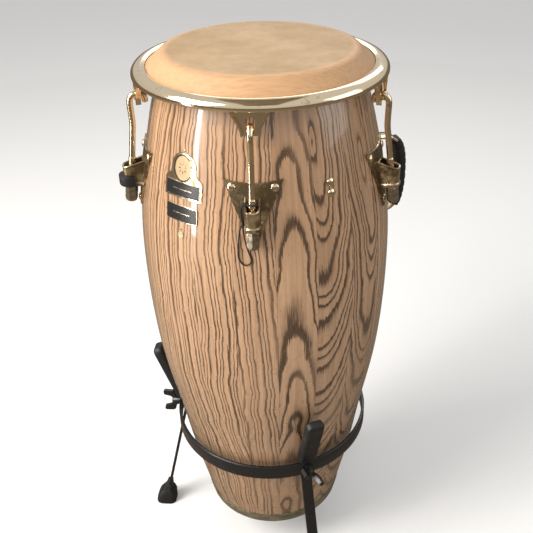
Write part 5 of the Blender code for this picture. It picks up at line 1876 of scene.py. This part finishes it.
class CONGA_OT_legs(bpy.types.Operator):
    """Adds the three bent legs with their arm pads and rubber boots"""

    bl_idname = "conga.legs"
    bl_label = "Legs, pads and boots"

    def execute(self, context):
        bar = strap(softened_bends(bar_path(), BEND_ROUNDING), BAR_THICKNESS / 2, BAR_WIDTH / 2, STRIP_EDGE)
        pad, boot = self.pad(), self.boot()
        for number, azimuth in enumerate(LEG_AZIMUTHS, 1):
            put(f"bent_leg_{number}", bar, [paint()], "stand", [f"leg_bar_{number}"],
                STAND_PLACE, azimuth)
            put(f"cradle_pad_{number}", pad, [rubber()], "stand", [f"arm_pad_{number}"],
                STAND_PLACE, azimuth)
            put(f"rubber_boot_{number}", boot, [rubber()], "stand", [f"foot_boot_{number}"],
                STAND_PLACE, azimuth)
        return {"FINISHED"}

    def pad(self):
        """A sleeve over the arm, thick outside and thin where the drum leans on it."""
        inner = BAR_THICKNESS / 2 + GAP + PAD_INNER_WALL
        outer = BAR_THICKNESS / 2 + GAP + PAD_OUTER_WALL
        middle, half_out = (outer - inner) / 2, (outer + inner) / 2
        slant = (PAD_START_OUTER - PAD_START_INNER) / (2 * half_out)
        start = (PAD_START_OUTER + PAD_START_INNER) / 2
        levels = [(start, 0.90, slant), (start + 0.0014, 0.98, slant), (start + 0.003, 1.0, slant)]
        levels += [(0.030, 1.0, 0.0), (0.065, 1.0, 0.0), (PAD_END - PAD_TIP, 1.0, 0.0)]
        for step in range(1, 7):
            angle = math.pi / 2 * step / 6
            along = PAD_END - PAD_TIP + PAD_TIP * math.sin(angle)
            levels.append((along, 0.42 + 0.58 * math.cos(angle), 0.0))
        rings = []
        for along, share, lean in levels:

            def spot(x, out, along=along, lean=lean):
                up = along + lean * out
                out += middle
                radius = BAR_RADIUS + up * math.sin(ARM_LEAN) + out * math.cos(ARM_LEAN)
                height = BAR_UPPER_BEND + up * math.cos(ARM_LEAN) - out * math.sin(ARM_LEAN)
                return (x, -radius, height)

            corner = PAD_CORNER * share
            rings.append(rounded_ring(PAD_HALF_WIDTH * share, half_out * share, corner, spot))
        return loft(rings)

    def boot(self):
        foot_radius = bar_path()[0][0]
        rings = []
        for height, half_x, half_out in smooth_line(BOOT_LEVELS, 4):
            centre = foot_radius + BOOT_FORWARD - max(height - BAR_FOOT_HEIGHT, 0) * math.tan(LEG_SPLAY)

            def spot(x, out, centre=centre, height=height):
                return (x, -(centre + out), height)

            rings.append(rounded_ring(half_x, half_out, min(half_x, half_out) * 0.6, spot))
        return loft(rings)


class CONGA_OT_wing_bolts(bpy.types.Operator):
    """Adds the three wing bolts"""

    bl_idname = "conga.wing_bolts"
    bl_label = "Wing bolts"

    def execute(self, context):
        hub = moved(turned(WING_BOLT_HUB, 32), Matrix.Rotation(math.pi / 2, 4, "X"))
        mirrored = [(out, -across) for out, across in WING_BOLT_OUTLINE[::-1]]
        wings = prism([*WING_BOLT_OUTLINE, *mirrored], WING_HALF_THICKNESS)
        mesh = combined(hub, joined=[wings])
        for number, (azimuth, roll) in enumerate(zip(LEG_AZIMUTHS, WING_BOLT_ROLLS), 1):
            seat = polar(STAND_HOOP_OUTER, azimuth, BOLT_LEVEL)
            turn = Matrix.Rotation(math.radians(azimuth), 4, "Z")
            place = STAND_PLACE @ Matrix.Translation(seat) @ turn
            place = place @ Matrix.Rotation(math.radians(roll), 4, "Y")
            bolt = put(f"clamp_wing_{number}", mesh, [paint()], f"clamp_bolt_{number}",
                       [f"wing_bolt_{number}"], place)
            bevelled(bolt, 0.0009, 3)
        return {"FINISHED"}


# ---------------------------------------------------------------- add-on

OPERATORS = (
    CONGA_OT_stage, CONGA_OT_cord, CONGA_OT_shell, CONGA_OT_foot_band, CONGA_OT_hide, CONGA_OT_rim,
    CONGA_OT_side_plates, CONGA_OT_screws, CONGA_OT_rods, CONGA_OT_nuts, CONGA_OT_bumper,
    CONGA_OT_handle, CONGA_OT_badges, CONGA_OT_stand_ring, CONGA_OT_legs, CONGA_OT_wing_bolts,
)


class CONGA_PT_panel(bpy.types.Panel):
    """The conga drum's pieces and settings"""

    bl_label = "Conga drum"
    bl_idname = "CONGA_PT_panel"
    bl_space_type = "VIEW_3D"
    bl_region_type = "UI"
    bl_category = "Conga"

    def draw(self, context):
        column = self.layout.column()
        for operator in OPERATORS:
            column.operator(operator.bl_idname)
        for settings in (context.scene.conga_looks, context.scene.conga_stage):
            for name in settings.__annotations__:
                column.prop(settings, name)


CLASSES = (CongaLooks, CongaStage, *OPERATORS, CONGA_PT_panel)


def register():
    for made in CLASSES:
        bpy.utils.register_class(made)
    bpy.types.Scene.conga_looks = bpy.props.PointerProperty(type=CongaLooks)
    bpy.types.Scene.conga_stage = bpy.props.PointerProperty(type=CongaStage)


def unregister():
    del bpy.types.Scene.conga_stage
    del bpy.types.Scene.conga_looks
    for made in reversed(CLASSES):
        bpy.utils.unregister_class(made)


def main():
    register()
    for operator in OPERATORS:
        group, name = operator.bl_idname.split(".")
        result = getattr(getattr(bpy.ops, group), name)()
        if result != {"FINISHED"}:
            raise RuntimeError(f"{operator.bl_label} wasn't built")


if __name__ == "__main__":
    main()
